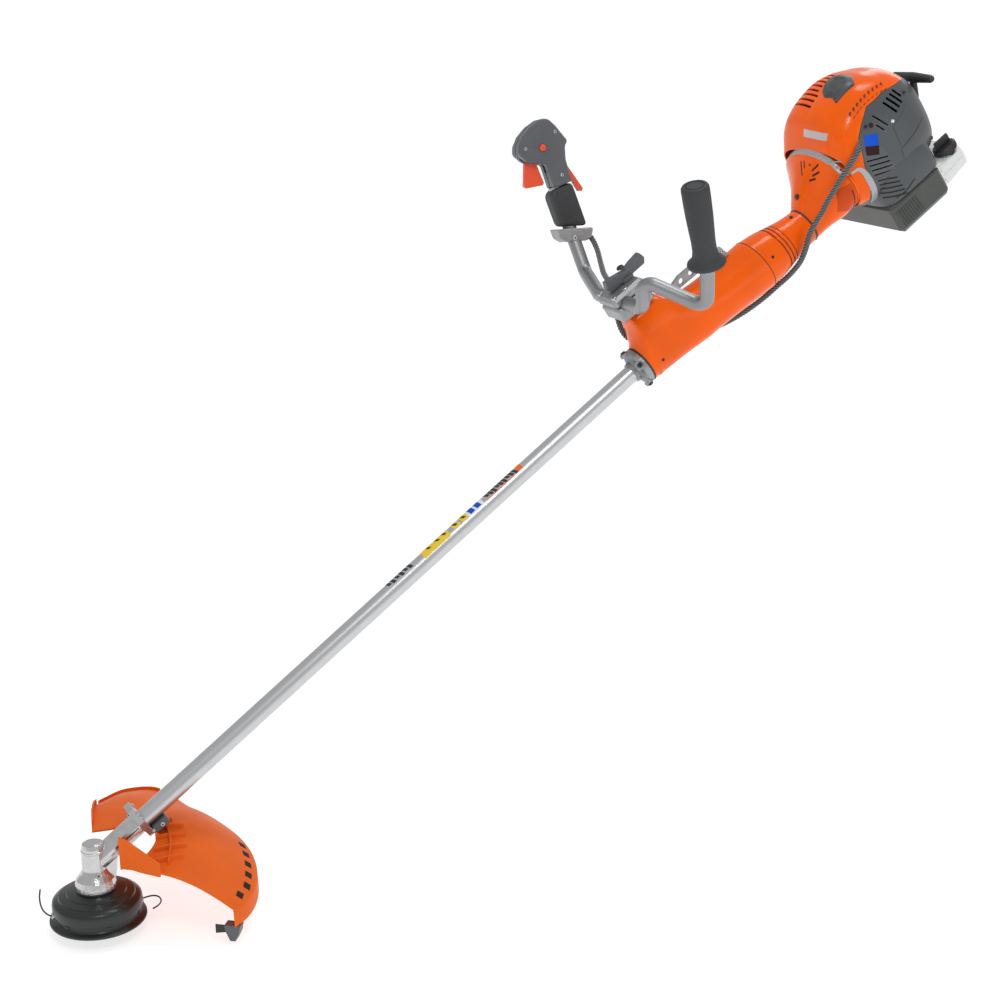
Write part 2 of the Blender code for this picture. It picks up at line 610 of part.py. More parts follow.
SHROUD_ROWS = (
    # along, bottom, top, half width
    (SHROUD_START, -0.0310, 0.0310, 0.0310),
    (1.1300, -0.0315, 0.0400, 0.0312),
    (1.1380, -0.0320, 0.0600, 0.0316),
    (1.1430, -0.0325, CLAMP_FOOT - 0.0012, 0.0318),
    (1.1700, -0.0342, CLAMP_FOOT - TOUCH, 0.0328),
    (1.1960, -0.0362, CLAMP_FOOT - 0.0025, 0.0340),
    (1.2180, -0.0382, 0.0600, 0.0352),
    (1.2420, -0.0400, 0.0470, 0.0370),
    (1.2900, -0.0440, 0.0420, 0.0405),
    (1.3300, -0.0472, 0.0405, 0.0430),
    (SHROUD_SEAM, -SEAM_RADIUS - SEAM_DROP, SEAM_RADIUS - SEAM_DROP, SEAM_RADIUS),
)


def shroud_top(along):
    return table_value([(row[0], row[2]) for row in SHROUD_ROWS], along)


def build_shroud(maker, tube):
    """Collar, gasket, the two orange shrouds over the tube and the rail that the harness hooks into."""
    hole = TUBE_RADIUS + TOUCH
    collar = [(COLLAR_RADIUS, COLLAR_FACE), (COLLAR_RADIUS, COLLAR_FACE - 0.0080),
              (COLLAR_RADIUS - 0.0018, COLLAR_FACE - 0.0098), (0.0215, COLLAR_FACE - 0.0112),
              (0.0180, COLLAR_FACE - 0.0140), (0.0165, COLLAR_START), (hole, COLLAR_START), (hole, COLLAR_FACE)]
    maker.turned("flange_collar", collar, CAST_LOOK, tube, turn=ALONG, steps=24, ring=True)
    gasket = ring_profile(COLLAR_RADIUS + 0.0005, hole, SHROUD_START - TOUCH, COLLAR_FACE + TOUCH)
    maker.turned("collar_gasket", gasket, RUBBER_LOOK, tube, turn=ALONG, steps=24, ring=True)
    rows = [oval(*row, power=2.0 + 0.5 * (row[2] > 0.0445)) for row in SHROUD_ROWS]
    maker.loft("front_shroud", rows, ORANGE_LOOK, tube, wall=SHROUD_WALL)
    seam = SHROUD_SEAM + 0.0008
    rear = [(0.0, SEAM_RADIUS - 0.0006, SEAM_DROP), (0.25, 0.0418, 0.0072), (0.55, 0.0357, 0.0096),
            (0.80, 0.0315, 0.0112), (1.0, NECK_RADIUS, NECK_DROP)]
    rings = []
    for share, radius, drop in rear:
        along = seam + (NECK_SEAM - 0.0016 - seam) * share
        rings.append(oval(along, -radius - drop, radius - drop, radius))
    maker.loft("rear_shroud", rings, ORANGE_LOOK, tube, wall=SHROUD_WALL)

    low = RAIL_UP - RAIL_HEIGHT / 2
    high = RAIL_UP + RAIL_HEIGHT / 2
    outline = [(RAIL_START - 0.004, shroud_top(RAIL_START - 0.004) + 0.0012),
               (RAIL_START + 0.009, shroud_top(RAIL_START + 0.009) + 0.0035),
               (RAIL_START + 0.014, low), (RAIL_END - 0.016, low - 0.0030),
               (RAIL_END - 0.010, shroud_top(RAIL_END) + 0.0012), (RAIL_END + 0.006, shroud_top(RAIL_END) + 0.0012),
               (RAIL_END, RAIL_UP - 0.002), (RAIL_END - 0.020, high - 0.0040), ((RAIL_START + RAIL_END) / 2, high),
               (RAIL_START + 0.022, high + 0.0010), (RAIL_START + 0.006, high - 0.0030)]
    rail = maker.plate("harness_rail", outline, RAIL_THICKNESS, CAST_LOOK, tube, turn=UPRIGHT_PLATE)
    for number, along in enumerate(HOOK_HOLES, 1):
        radius = HOOK_HOLE_RADIUS
        hook = maker.turned(f"hook_hole_{number}", [(0, 0.01), (radius, 0.01), (radius, -0.01), (0, -0.01)],
                            None, tube, at=(along, 0, RAIL_UP - 0.0008), turn=ACROSS, steps=14)
        combine(rail, hook)


def bar_path(left_reach, right_reach):
    """The bent bar's centre line, ending inside each grip at a share of the grip's length."""
    left = [Vector(p) for p in BAR_LEFT]
    right = [Vector(p) for p in BAR_RIGHT]
    for side, reach in ((left, left_reach), (right, right_reach)):
        side[-1] = side[-2].lerp(side[-1], reach)
    return bent([*reversed(left), *right], BAR_BEND)


def build_handlebar(maker, tube):
    """The split clamp with its wing knob, the bent bar and the plain grip on its left end."""
    clamp = block_between(maker, "handlebar_bracket", (CLAMP_ALONG - CLAMP_HALF_LENGTH, KNOB_ALONG + 0.0120),
                          CLAMP_HALF_WIDTH, (CLAMP_FOOT, CLAMP_UP - TOUCH), CAST_LOOK, tube, 0.003)
    cap = block_between(maker, "handlebar_clamp_cap", (CLAMP_ALONG - CLAMP_HALF_LENGTH, KNOB_ALONG + 0.0120),
                        CLAMP_HALF_WIDTH, (CLAMP_UP + TOUCH, CLAMP_UP + 0.0178), CAST_LOOK, tube, 0.005)
    bore = BAR_RADIUS + TOUCH
    hole = maker.turned("bar_bore", [(0, 0.05), (bore, 0.05), (bore, -0.05), (0, -0.05)], None, tube,
                        at=(CLAMP_ALONG, 0, CLAMP_UP), turn=ACROSS, steps=20)
    stud = maker.turned("stud_hole", [(0, 0.03), (0.0042, 0.03), (0.0042, -0.0135), (0, -0.0135)], None, tube,
                        at=(KNOB_ALONG, 0, CLAMP_UP), steps=12)
    for piece in (clamp, cap):
        combine(piece, hole)
        combine(piece, stud)

    base = CLAMP_UP + 0.0178 + RUNNING
    knob = maker.turned("clamp_knob", [(0, base + 0.0060), (0.0100, base + 0.0060), (0.0115, base),
                                       (0.0036, base), (0.0036, CLAMP_UP - 0.0120), (0, CLAMP_UP - 0.0120)],
                        DARK_LOOK, tube, at=(KNOB_ALONG, 0, 0), steps=16)
    wing = maker.plate("wing_form", [(-0.0380, 0.0035), (-0.0350, -0.0045), (-0.0130, -0.0045), (0.0, -0.0060),
                                     (0.0130, -0.0045), (0.0350, -0.0045), (0.0400, 0.0035), (0.0370, 0.0135),
                                     (0.0180, 0.0115), (0.0, 0.0075), (-0.0180, 0.0115), (-0.0350, 0.0135)],
                       0.0120, None, tube, at=(KNOB_ALONG, 0, base + 0.0070), turn=UPRIGHT_PLATE)
    combine(knob, wing, "UNION")

    maker.rod("handlebar", bar_path(0.86, 0.61), BAR_RADIUS, ALLOY_LOOK, tube)

    grip_frame = aimed_frame("left_grip_frame", tube, BAR_LEFT[-2], BAR_LEFT[-1])
    top, bore = GRIP_LENGTH, BAR_RADIUS + TOUCH
    profile = [(0, top + 0.0030), (0.0120, top + 0.0025), (GRIP_RADIUS - 0.0020, top), (GRIP_RADIUS, top - 0.0060),
               (GRIP_RADIUS + 0.0004, 0.0800), (GRIP_RADIUS, 0.0500), (GRIP_RADIUS - 0.0028, 0.0280),
               (GRIP_RADIUS, 0.0190), (0.0275, 0.0120), (0.0285, 0.0080), (0.0270, 0.0050), (bore, 0.0050),
               (bore, top - 0.0060), (0, top - 0.0060)]
    maker.turned("left_grip", profile, RUBBER_LOOK, grip_frame, steps=24)


def block_between(maker, name, alongs, half_width, ups, look, parent, bevel):
    size = (alongs[1] - alongs[0], 2 * half_width, ups[1] - ups[0])
    middle = ((alongs[0] + alongs[1]) / 2, 0.0, (ups[0] + ups[1]) / 2)
    return maker.block(name, size, look, parent, at=middle, bevel=bevel)


def aimed_frame(name, parent, base, towards):
    """An empty at base with Z pointing at a place and X as near to the engine as it can."""
    z = (Vector(towards) - Vector(base)).normalized()
    y = z.cross(Vector((1, 0, 0))).normalized()
    frame = bpy.data.objects.new(name, None)
    bpy.context.scene.collection.objects.link(frame)
    frame.parent = parent
    frame.matrix_local = Matrix.Translation(base) @ Matrix((y.cross(z), y, z)).transposed().to_4x4()
    return frame


def build_throttle_handle(maker, tube):
    """The right-hand grip in its own frame: X back to the engine, Y outwards, Z up the grip."""
    handle = aimed_frame("throttle_handle_frame", tube, BAR_RIGHT[-2], BAR_RIGHT[-1])
    bore = meshed(maker.rod("bar_form", bar_path(0.87, 0.62), BAR_RADIUS + TOUCH, None, tube))
    half = HANDLE_WIDTH / 2
    outline = [(-0.0366, 0.1340), (-0.0448, 0.1480), (-0.0400, 0.1600), (-0.0279, 0.1724), (-0.0093, 0.1822),
               (0.0129, 0.1874), (0.0235, 0.1829), (0.0311, 0.1691), (0.0421, 0.1392), (0.0347, 0.1329),
               (0.0282, 0.1125), (0.0256, 0.0765), (-0.0075, 0.0765), (-0.0060, 0.1170), (-0.0300, 0.1270)]
    trigger_slot = maker.block("trigger_slot", (0.036, LEVER_WIDTH + 2 * RUNNING, 0.040), None, handle,
                               at=(-0.0215, 0, 0.1230))
    lever_slot = maker.block("lever_slot", (0.018, LEVER_WIDTH + 2 * RUNNING, 0.046), None, handle,
                             at=(0.0275, 0, 0.0900))
    button_hole = maker.turned("button_hole", [(0, 0.0), (BUTTON_RADIUS + RUNNING, 0.0),
                                               (BUTTON_RADIUS + RUNNING, -0.030), (0, -0.030)], None, handle,
                               at=(BUTTON_PLACE[0], -0.0040, BUTTON_PLACE[1]), turn=ACROSS, steps=16)
    for name, side in (("throttle_handle_inner", -1), ("throttle_handle_outer", 1)):
        piece = maker.plate(name, outline, half - TOUCH / 2, DARK_LOOK, handle,
                            at=(0, side * (half + TOUCH / 2) / 2, 0), turn=UPRIGHT_PLATE)
        soften(piece, 0.0025)
        for cutter in (bore, trigger_slot, lever_slot):
            combine(piece, cutter)
        if side < 0:
            combine(piece, button_hole)

    grip = maker.plate("throttle_grip", [(-0.0190, 0.0152), (-0.0190, 0.0680), (-0.0085, 0.0755), (0.0256, 0.0755),
                                         (0.0262, 0.0580), (0.0258, 0.0005)], 0.0335, RUBBER_LOOK, handle,
                       turn=UPRIGHT_PLATE)
    soften(grip, 0.0065, 2)
    combine(grip, bore)

    px, pz = TRIGGER_PIVOT
    trigger = [(-0.0366, 0.1290), (-0.0505, 0.0963), (-0.0470, 0.0920), (-0.0200, 0.0870), (-0.0165, 0.0900),
               (-0.0176, 0.1210), (-0.0130, 0.1310), (-0.0180, 0.1385), (-0.0250, 0.1370)]
    maker.plate("throttle_trigger", [(x - px, z - pz) for x, z in trigger], LEVER_WIDTH, TRIGGER_LOOK, handle,
                at=(px, 0, pz), turn=UPRIGHT_PLATE)
    px, pz = LOCKOUT_PIVOT
    lever = [(0.0225, 0.1065), (0.0270, 0.1085), (0.0305, 0.1050), (0.0370, 0.0820), (0.0435, 0.0580),
             (0.0405, 0.0545), (0.0350, 0.0565), (0.0290, 0.0850), (0.0270, 0.0960), (0.0225, 0.1010)]
    maker.plate("lockout_lever", [(x - px, z - pz) for x, z in lever], LEVER_WIDTH, TRIGGER_LOOK, handle,
                at=(px, 0, pz), turn=UPRIGHT_PLATE)
    button_back = half - 0.0105
    maker.turned("stop_button", [(0, 0.0), (BUTTON_RADIUS, 0.0), (BUTTON_RADIUS, -0.0128),
                                 (BUTTON_RADIUS - 0.0012, -0.0140), (0, -0.0140)], TRIGGER_LOOK, handle,
                 at=(BUTTON_PLACE[0], -button_back, BUTTON_PLACE[1]), turn=ACROSS, steps=16)

    collar = maker.plate("handle_clamp", [(-0.0280, 0.0140), (-0.0280, -0.0010), (-0.0200, -0.0110),
                                          (0.0150, -0.0220), (0.0250, -0.0190), (0.0318, -0.0080),
                                          (0.0310, -0.0048)], 0.0345, CAST_LOOK, handle, turn=UPRIGHT_PLATE)
    soften(collar, 0.0035)
    combine(collar, bore)
    route = smooth_path(CABLE_UPPER)[:7]
    route[0] += (route[0] - route[1]).normalized() * RUNNING
    port = meshed(maker.rod("cable_port", route, CABLE_RADIUS + TOUCH, None, tube, resolution=2))
    combine(collar, port)


def build_cable(maker, tube):
    """The throttle cable's sleeve: the free length from the handle, then the length along the shroud."""
    for name, route in (("throttle_cable_upper", CABLE_UPPER), ("throttle_cable_lower", CABLE_LOWER)):
        maker.rod(name, smooth_path(route), CABLE_RADIUS, RUBBER_LOOK, tube, resolution=2)


def build_clutch(maker, tube):
    """The flared clutch cover, its trim and the clutch drum on the end of the drive shaft."""
    neck = NECK_SEAM + 0.0010
    rows = [(neck, -NECK_RADIUS - NECK_DROP, NECK_RADIUS - NECK_DROP, NECK_RADIUS),
            (1.4900, -0.0405, 0.0320, 0.0350), (1.5090, -0.0385, 0.0500, 0.0500),
            (1.5210, -0.0375, 0.0620, 0.0640), (1.5320, -0.0350, 0.0730, 0.0765),
            (BAND_ALONG - 0.0040, -0.0300, 0.0830, 0.0850), (BAND_ALONG - 0.0005, -0.0300, 0.0830, 0.0850)]
    maker.loft("clutch_cover", [oval(*row) for row in rows], ORANGE_LOOK, tube, wall=SHROUD_WALL)
    band = [oval(along, -0.0315, 0.0845, 0.0865) for along in (BAND_ALONG + TOUCH, BAND_ALONG + BAND_WIDTH)]
    maker.loft("trim_band", band, TRIM_LOOK, tube, wall=0.0045)
    drum_mouth, wall = DRUM_BACK + 0.0245, 0.0030
    maker.turned("clutch_drum", [(DRUM_RADIUS, drum_mouth), (DRUM_RADIUS, DRUM_BACK - wall),
                                 (0.0090, DRUM_BACK - wall), (0.0090, DRUM_BACK - 0.0135),
                                 (SHAFT_RADIUS + TOUCH, DRUM_BACK - 0.0135), (SHAFT_RADIUS + TOUCH, DRUM_BACK),
                                 (DRUM_RADIUS - wall, DRUM_BACK), (DRUM_RADIUS - wall, drum_mouth)],
                 STEEL_LOOK, tube, turn=ALONG, steps=24, ring=True)


# Engine shell: place along the tube, bottom, top and half width
SHELL_ROWS = (
    (BAND_ALONG + BAND_WIDTH + 0.0010, -0.0330, 0.0940, 0.0880),
    (1.5660, -0.0400, 0.1180, 0.0925),
    (1.5800, -0.0425, 0.1310, 0.0945),
    (1.6050, -0.0440, 0.1410, 0.0960),
    (1.6400, -0.0440, 0.1460, 0.0960),
    (1.6700, -0.0440, 0.1400, 0.0940),
    (1.6900, -0.0440, 0.1310, 0.0885),
    (1.7125, -0.0430, 0.1190, 0.0760),
    (1.7290, -0.0390, 0.1000, 0.0590),
    (SHELL_END, -0.0320, 0.0860, 0.0460),
)
HOOD_LINE = (
    (1.5450, -0.0200), (1.5620, -0.0180), (1.5730, 0.0440), (1.5880, 0.0860), (1.6050, 0.0990),
    (1.6300, 0.1130), (1.6700, 0.1120), (1.7130, 0.0980), (1.7500, 0.0780),
)


def build_engine_covers(maker, tube):
    """The orange hood over the grey starter housing, one shell parted along a line, and their fittings."""
    rows = [oval(*row, power=2.8, waist=0.045) for row in SHELL_ROWS]
    above = [(1.7500, 0.2000), (1.5450, 0.2000)]
    gap = 2 * TOUCH
    hood_form = maker.plate("hood_form", [*HOOD_LINE, *above], 0.3, None, tube, turn=UPRIGHT_PLATE)
    split_form = maker.plate("split_form", [*((x + gap, z - gap) for x, z in HOOD_LINE), (1.7510, 0.2),
                                            (1.5450, 0.2)], 0.3, None, tube, turn=UPRIGHT_PLATE)
    hood = maker.loft("top_cover", rows, ORANGE_LOOK, tube, wall=ENGINE_WALL, capped=True)
    combine(hood, hood_form, "INTERSECT")
    housing = maker.loft("starter_housing", rows, TRIM_LOOK, tube, wall=ENGINE_WALL, capped=True)
    combine(housing, split_form)
    vent = maker.block("muffler_vent", (0.044, 0.05, 0.044), None, tube, at=(CYLINDER_ALONG, 0.1, 0.0450))
    seat = maker.turned("bulb_seat", [(0, 0.0100), (0.0110, 0.0100), (0.0110, -0.0100), (0, -0.0100)], None, tube,
                        at=BULB_PLACE, turn=ALONG, steps=16)
    for cutter in (vent, seat):
        combine(housing, cutter)
    stud = maker.turned("pulley_stud", [(0, SHELL_END - 0.001), (0.0050, SHELL_END - 0.001), (0.0050, 1.6960),
                                        (0, 1.6960)], None, tube, turn=ALONG, steps=14)
    combine(housing, stud, "UNION")

    six = [(-0.0260, -0.0080), (-0.0150, -0.0220), (0.0130, -0.0220), (0.0240, -0.0060), (0.0150, 0.0200),
           (-0.0150, 0.0200)]
    place = (1.6400, -0.0180, 0.1390)
    wide = maker.plate("plug_hole", [(x * 1.03, y * 1.03) for x, y in six], 0.0600, None, tube, at=place)
    combine(hood, wide)
    maker.plate("plug_cover", six, 0.0170, DARK_LOOK, tube, at=place)


def build_power_train(maker, tube):
    """Crankcase, cylinder, piston, crankshaft with its clutch hub, flywheel, rope pulley and fittings."""
    crankcase = maker.turned("crankcase", [(0, 1.6500), (0.0360, 1.6500), (0.0360, 1.6000), (0, 1.6000)], CAST_LOOK,
                             tube, turn=ALONG, steps=24)
    flat = maker.block("case_flat", (0.2, 0.2, 0.05), None, tube, at=(CYLINDER_ALONG, 0, 0.0547))
    chamber = maker.turned("crank_chamber", [(0, 1.6375), (0.0250, 1.6375), (0.0250, 1.6125), (0, 1.6125)], None,
                           tube, turn=ALONG, steps=24)
    mouth = maker.turned("case_mouth", [(0, 0.05), (BORE_RADIUS + 0.0002, 0.05), (BORE_RADIUS + 0.0002, 0.0),
                                        (0, 0.0)], None, tube, at=(CYLINDER_ALONG, 0, 0), steps=20)
    journal = maker.turned("journal_hole", [(0, 1.7), (CRANK_RADIUS + RUNNING, 1.7), (CRANK_RADIUS + RUNNING, 1.55),
                                            (0, 1.55)], None, tube, turn=ALONG, steps=16)
    for cutter in (flat, chamber, mouth, journal):
        combine(crankcase, cutter)

    fins = [(0.0050, 0.0995)]
    for layer in range(4):
        height = 0.0995 - 0.0150 * layer
        fins += [(0.0330, height), (0.0330, height - 0.0030), (0.0245, height - 0.0030), (0.0245, height - 0.0150)]
    bore = BORE_RADIUS + 0.0002
    fins = [*fins, (0.0245, 0.0300), (bore, 0.0300), (bore, 0.0850), (0.0050, 0.0900)]
    maker.turned("cylinder", fins, ALLOY_LOOK, tube, at=(CYLINDER_ALONG, 0, 0), steps=20, ring=True)
    piston = maker.turned("piston", [(0, 0.0640), (BORE_RADIUS - TOUCH, 0.0640), (BORE_RADIUS - TOUCH, 0.0440),
                                     (0, 0.0440)], ALLOY_LOOK, tube, at=(CYLINDER_ALONG, 0, 0), steps=20)
    rod = maker.block("rod_form", (0.0080, 0.0120, 0.0300), None, tube, at=(CYLINDER_ALONG, 0, 0.0390))
    combine(piston, rod, "UNION")

    shaft = maker.turned("crankshaft", [(0, 1.6900), (CRANK_RADIUS, 1.6900), (CRANK_RADIUS, 1.6350),
                                        (0.0220, 1.6350), (0.0220, 1.6150), (CRANK_RADIUS, 1.6150),
                                        (CRANK_RADIUS, HUB_END), (HUB_RADIUS, HUB_END), (HUB_RADIUS, HUB_START),
                                        (0, HUB_START)], STEEL_LOOK, tube, turn=ALONG, steps=20)
    gap = maker.turned("web_gap", [(0, 1.6305), (0.0230, 1.6305), (0.0230, 1.6195), (0, 1.6195)], None, tube,
                       turn=ALONG, steps=20)
    pin = maker.turned("crank_pin", [(0, 1.6330), (0.0050, 1.6330), (0.0050, 1.6170), (0, 1.6170)], None, tube,
                       at=(0, 0, CRANK_THROW), turn=ALONG, steps=12)
    combine(shaft, gap)
    combine(shaft, pin, "UNION")
    maker.turned("flywheel", [(FLYWHEEL_RADIUS, 1.6820), (FLYWHEEL_RADIUS, 1.6640), (CRANK_RADIUS + TOUCH, 1.6640),
                              (CRANK_RADIUS + TOUCH, 1.6780), (0.0270, 1.6780), (0.0310, 1.6820)], CAST_LOOK,
                 tube, turn=ALONG, steps=24, ring=True)
    maker.turned("starter_pulley", [(PULLEY_RADIUS, 1.7120), (PULLEY_RADIUS, 1.7100), (PULLEY_RADIUS - 0.006, 1.7080),
                                    (PULLEY_RADIUS - 0.006, 1.7040), (PULLEY_RADIUS, 1.7020),
                                    (PULLEY_RADIUS, 1.7000), (0.0050 + TOUCH, 1.7000), (0.0050 + TOUCH, 1.7120)],
                 BLACK_LOOK, tube, turn=ALONG, steps=20, ring=True)

    maker.block("muffler", (0.0420, 0.0330, 0.0420), STEEL_LOOK, tube, at=(CYLINDER_ALONG, 0.0620, 0.0450),
                bevel=0.004)
    maker.block("carburettor", (0.0300, 0.0240, 0.0300), ALLOY_LOOK, tube, at=(CYLINDER_ALONG, -0.0480, 0.0520),
                bevel=0.002)
    maker.turned("spark_plug", [(0, 0.1270), (0.0045, 0.1270), (0.0060, 0.1200), (0.0060, 0.1120), (0.0080, 0.1110),
                                (0.0080, 0.1000), (0.0045, 0.1000), (0.0045, 0.0920), (0, 0.0920)], STEEL_LOOK,
                 tube, at=(CYLINDER_ALONG, 0, 0), steps=12)


def build_controls(maker, tube):
    """The rope handle, the choke lever and the primer bulb on the back of the engine."""
    guide = aimed_frame("rope_frame", tube, ROPE_GUIDE, Vector(ROPE_GUIDE) + Vector(ROPE_PULL))
    handle = maker.turned("starter_handle", [(0, 0.0500), (0.0060, 0.0500), (0.0060, 0.0160), (0.0045, 0.0100),
                                             (0, 0.0100)], BLACK_LOOK, guide, steps=14)
    rings = []
    for y, reach in ((-0.050, 0.0045), (-0.046, 0.0066), (-0.020, 0.0078), (0.0, 0.0088), (0.020, 0.0078),
                     (0.046, 0.0066), (0.050, 0.0045)):
        rings.append([(reach * math.cos(t), y, 0.0475 + reach * math.sin(t))
                      for t in (math.tau * i / 12 for i in range(12))])
    bar = maker.loft("grip_form", rings, None, guide)
    combine(handle, bar, "UNION")

    maker.turned("primer_bulb", [(0, 0.0110), (0.0060, 0.0095), (0.0095, 0.0060), (0.0105, 0.0), (0, 0.0)],
                 RUBBER_LOOK, tube, at=BULB_PLACE, turn=ALONG, steps=16)
    maker.plate("choke_lever", [(-0.0060, -0.0060), (0.0050, -0.0060), (0.0080, 0.0), (0.0060, 0.0110),
                                (0.0040, 0.0260), (-0.0030, 0.0260), (-0.0060, 0.0110), (-0.0080, 0.0)], 0.0050,
                BLACK_LOOK, tube, at=CHOKE_PLACE, turn=(math.pi / 2, 0.0, math.pi / 2))


def build_fuel_tank(maker, tube):
    """The open guard under the engine, the hollow tank in it and the cap with its upright tab."""
    guard = maker.block("tank_guard", (0.1120, 0.1760, 0.0560), DARK_LOOK, tube, at=(1.6340, 0, -0.0735),
                        bevel=0.008)
    pocket = maker.block("guard_pocket", (0.1200, 0.1640, 0.0600), None, tube, at=(1.6440, 0, -0.0685))
    combine(guard, pocket)
    outer = [(1.5900, -0.0960, -0.0500, 0.0760), (1.5940, -0.0975, -0.0480, 0.0790), (1.6930, -0.0975, -0.0480, 0.0790),
             (1.7010, -0.1060, -0.0590, 0.0680), (1.7520, -0.1020, -0.0590, 0.0620),
             (1.7570, -0.0960, -0.0660, 0.0560)]
    tank = maker.loft("fuel_tank", [oval(*row, power=5.0, count=20) for row in outer], WHITE_LOOK, tube)
    wall = 0.0025
    inner = [(along, low + wall, high - wall, half - wall) for along, low, high, half in outer[1:-1]]
    hollow = maker.loft("tank_hollow", [oval(*row, power=5.0, count=20) for row in inner], None, tube)
    combine(tank, hollow)
    x, y, z = CAP_PLACE
    filler = maker.turned("filler_hole", [(0, 0.02), (0.0130, 0.02), (0.0130, -0.02), (0, -0.02)], None, tube,
                          at=(x, y, z), steps=16)
    combine(tank, filler)
    cap = maker.turned("fuel_cap", [(0, 0.0110), (CAP_RADIUS - 0.0020, 0.0110), (CAP_RADIUS, 0.0090),
                                    (CAP_RADIUS, 0.0010), (0.0125, 0.0010), (0.0125, -0.0090), (0, -0.0090)],
                       BLACK_LOOK, tube, at=CAP_PLACE, steps=20)
    tab = maker.block("tab_form", (0.0300, 0.0050, 0.0140), None, tube, at=(x, y, z + 0.0170), bevel=0.0015)
    combine(cap, tab, "UNION")


def main():
    clear_scene()
    maker = Maker(new_collection("string_trimmer"), new_collection("cutters"))
    level = bpy.data.objects.new("head_axis", None)
    tube = bpy.data.objects.new("tube_axis", None)
    tube.rotation_euler = (0.0, -TILT, 0.0)
    hook = tube.rotation_euler.to_matrix() @ Vector((HOOK_ORIGIN, 0.0, RAIL_UP))
    for frame in (level, tube):
        bpy.context.scene.collection.objects.link(frame)
        frame.location = -hook
    bpy.context.view_layer.update()
    build_drive_line(maker, tube)
    build_gearbox(maker, level, tube)
    build_cutting_head(maker, level)
    build_guard(maker, level, tube)
    build_line_cutter(maker, level)
    build_shroud(maker, tube)
    build_handlebar(maker, tube)
    build_throttle_handle(maker, tube)
    build_cable(maker, tube)
    build_clutch(maker, tube)
    build_engine_covers(maker, tube)
    build_power_train(maker, tube)
    build_controls(maker, tube)
    build_fuel_tank(maker, tube)


main()
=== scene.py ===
"""Looks of a petrol string trimmer: finishes, moulded shells, small fittings, labels, lights and a camera.

All places are in metres in the model's own row frame. Most pieces are laid out in the drive tube's
frame (along the tube, to the side, up from it), in the cutting head's level frame, or in the frame
of the throttle handle, and are carried to the row frame by that frame's matrix.
"""

import logging
import math
from dataclasses import dataclass, field
from enum import Enum

import bmesh
import bpy
from mathutils import Matrix, Vector
from mathutils.bvhtree import BVHTree


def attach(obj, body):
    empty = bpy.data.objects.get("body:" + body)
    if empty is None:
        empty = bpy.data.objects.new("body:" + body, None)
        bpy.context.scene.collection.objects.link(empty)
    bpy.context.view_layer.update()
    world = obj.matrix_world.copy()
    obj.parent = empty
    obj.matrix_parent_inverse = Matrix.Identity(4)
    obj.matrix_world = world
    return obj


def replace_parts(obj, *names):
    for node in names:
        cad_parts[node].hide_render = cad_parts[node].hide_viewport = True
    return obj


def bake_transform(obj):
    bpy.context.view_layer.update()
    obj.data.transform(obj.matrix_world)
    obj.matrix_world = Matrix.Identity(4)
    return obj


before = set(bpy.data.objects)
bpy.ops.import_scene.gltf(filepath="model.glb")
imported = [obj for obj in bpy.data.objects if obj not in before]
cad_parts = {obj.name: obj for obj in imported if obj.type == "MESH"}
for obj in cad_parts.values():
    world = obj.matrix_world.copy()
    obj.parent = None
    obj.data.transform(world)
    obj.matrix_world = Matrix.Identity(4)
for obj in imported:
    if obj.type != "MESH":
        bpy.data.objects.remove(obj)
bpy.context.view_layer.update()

LOG = logging.getLogger("string_trimmer")

Point = tuple[float, float, float]
Pair = tuple[float, float]
Ring = list[Point]
Form = bmesh.types.BMesh
Piece = bpy.types.Object
Group = bpy.types.NodeTree

TILT = math.radians(35.0)
HOOK_ALONG = 1.272
HOOK_UP = 0.0635
TUBE_RADIUS = 0.014
HAIR = 0.0004  # how far a thin fitting stands off the surface it lies on
SMOOTH_ANGLE = math.radians(38.0)
SHELL_FACETS = 96  # round the engine's shells


def tube_matrix() -> Matrix:
    """Matrix from the drive tube's frame to the row frame."""
    turn = Matrix.Rotation(-TILT, 4, "Y")
    return Matrix.Translation(-(turn @ Vector((HOOK_ALONG, 0.0, HOOK_UP)))) @ turn


TUBE = tube_matrix()
HEAD = Matrix.Translation(TUBE.translation)
ALONG = Matrix.Rotation(math.pi / 2, 4, "Y")
UPRIGHT = Matrix.Rotation(math.pi / 2, 4, "X")


def aimed(parent: Matrix, base: Point, towards: Point) -> Matrix:
    """Matrix of a frame whose Z points from base to another place.

    Args:
        parent: matrix of the frame that both places are in.
        base: the new frame's origin.
        towards: the place its Z points to.

    Returns:
        The new frame's matrix to the row frame.
    """
    z = (Vector(towards) - Vector(base)).normalized()
    y = z.cross(Vector((1, 0, 0))).normalized()
    return parent @ Matrix.Translation(base) @ Matrix((y.cross(z), y, z)).transposed().to_4x4()


HANDLE = aimed(TUBE, (1.217, 0.211, 0.157), (1.256, 0.234, 0.276))
LEFT_GRIP = aimed(TUBE, (1.217, -0.211, 0.157), (1.256, -0.234, 0.276))


# --- meshes -----------------------------------------------------------------------------------


def new_piece(name: str, form: Form, smooth: bool = True) -> Piece:
    """Links a mesh object made from a bmesh that is already in the row frame.

    Args:
        name: the object's name.
        form: its shape, which is freed.
        smooth: shade it smooth below the usual angle.

    Returns:
        The new object.
    """
    bmesh.ops.recalc_face_normals(form, faces=form.faces)
    mesh = bpy.data.meshes.new(name)
    form.to_mesh(mesh)
    form.free()
    obj = bpy.data.objects.new(name, mesh)
    bpy.context.scene.collection.objects.link(obj)
    if smooth:
        shade(obj)
    return obj


def shade(obj: Piece) -> None:
    """Shades a mesh smooth, with its hard edges kept sharp."""
    obj.data.polygons.foreach_set("use_smooth", [True] * len(obj.data.polygons))
    obj.data.set_sharp_from_angle(angle=SMOOTH_ANGLE)


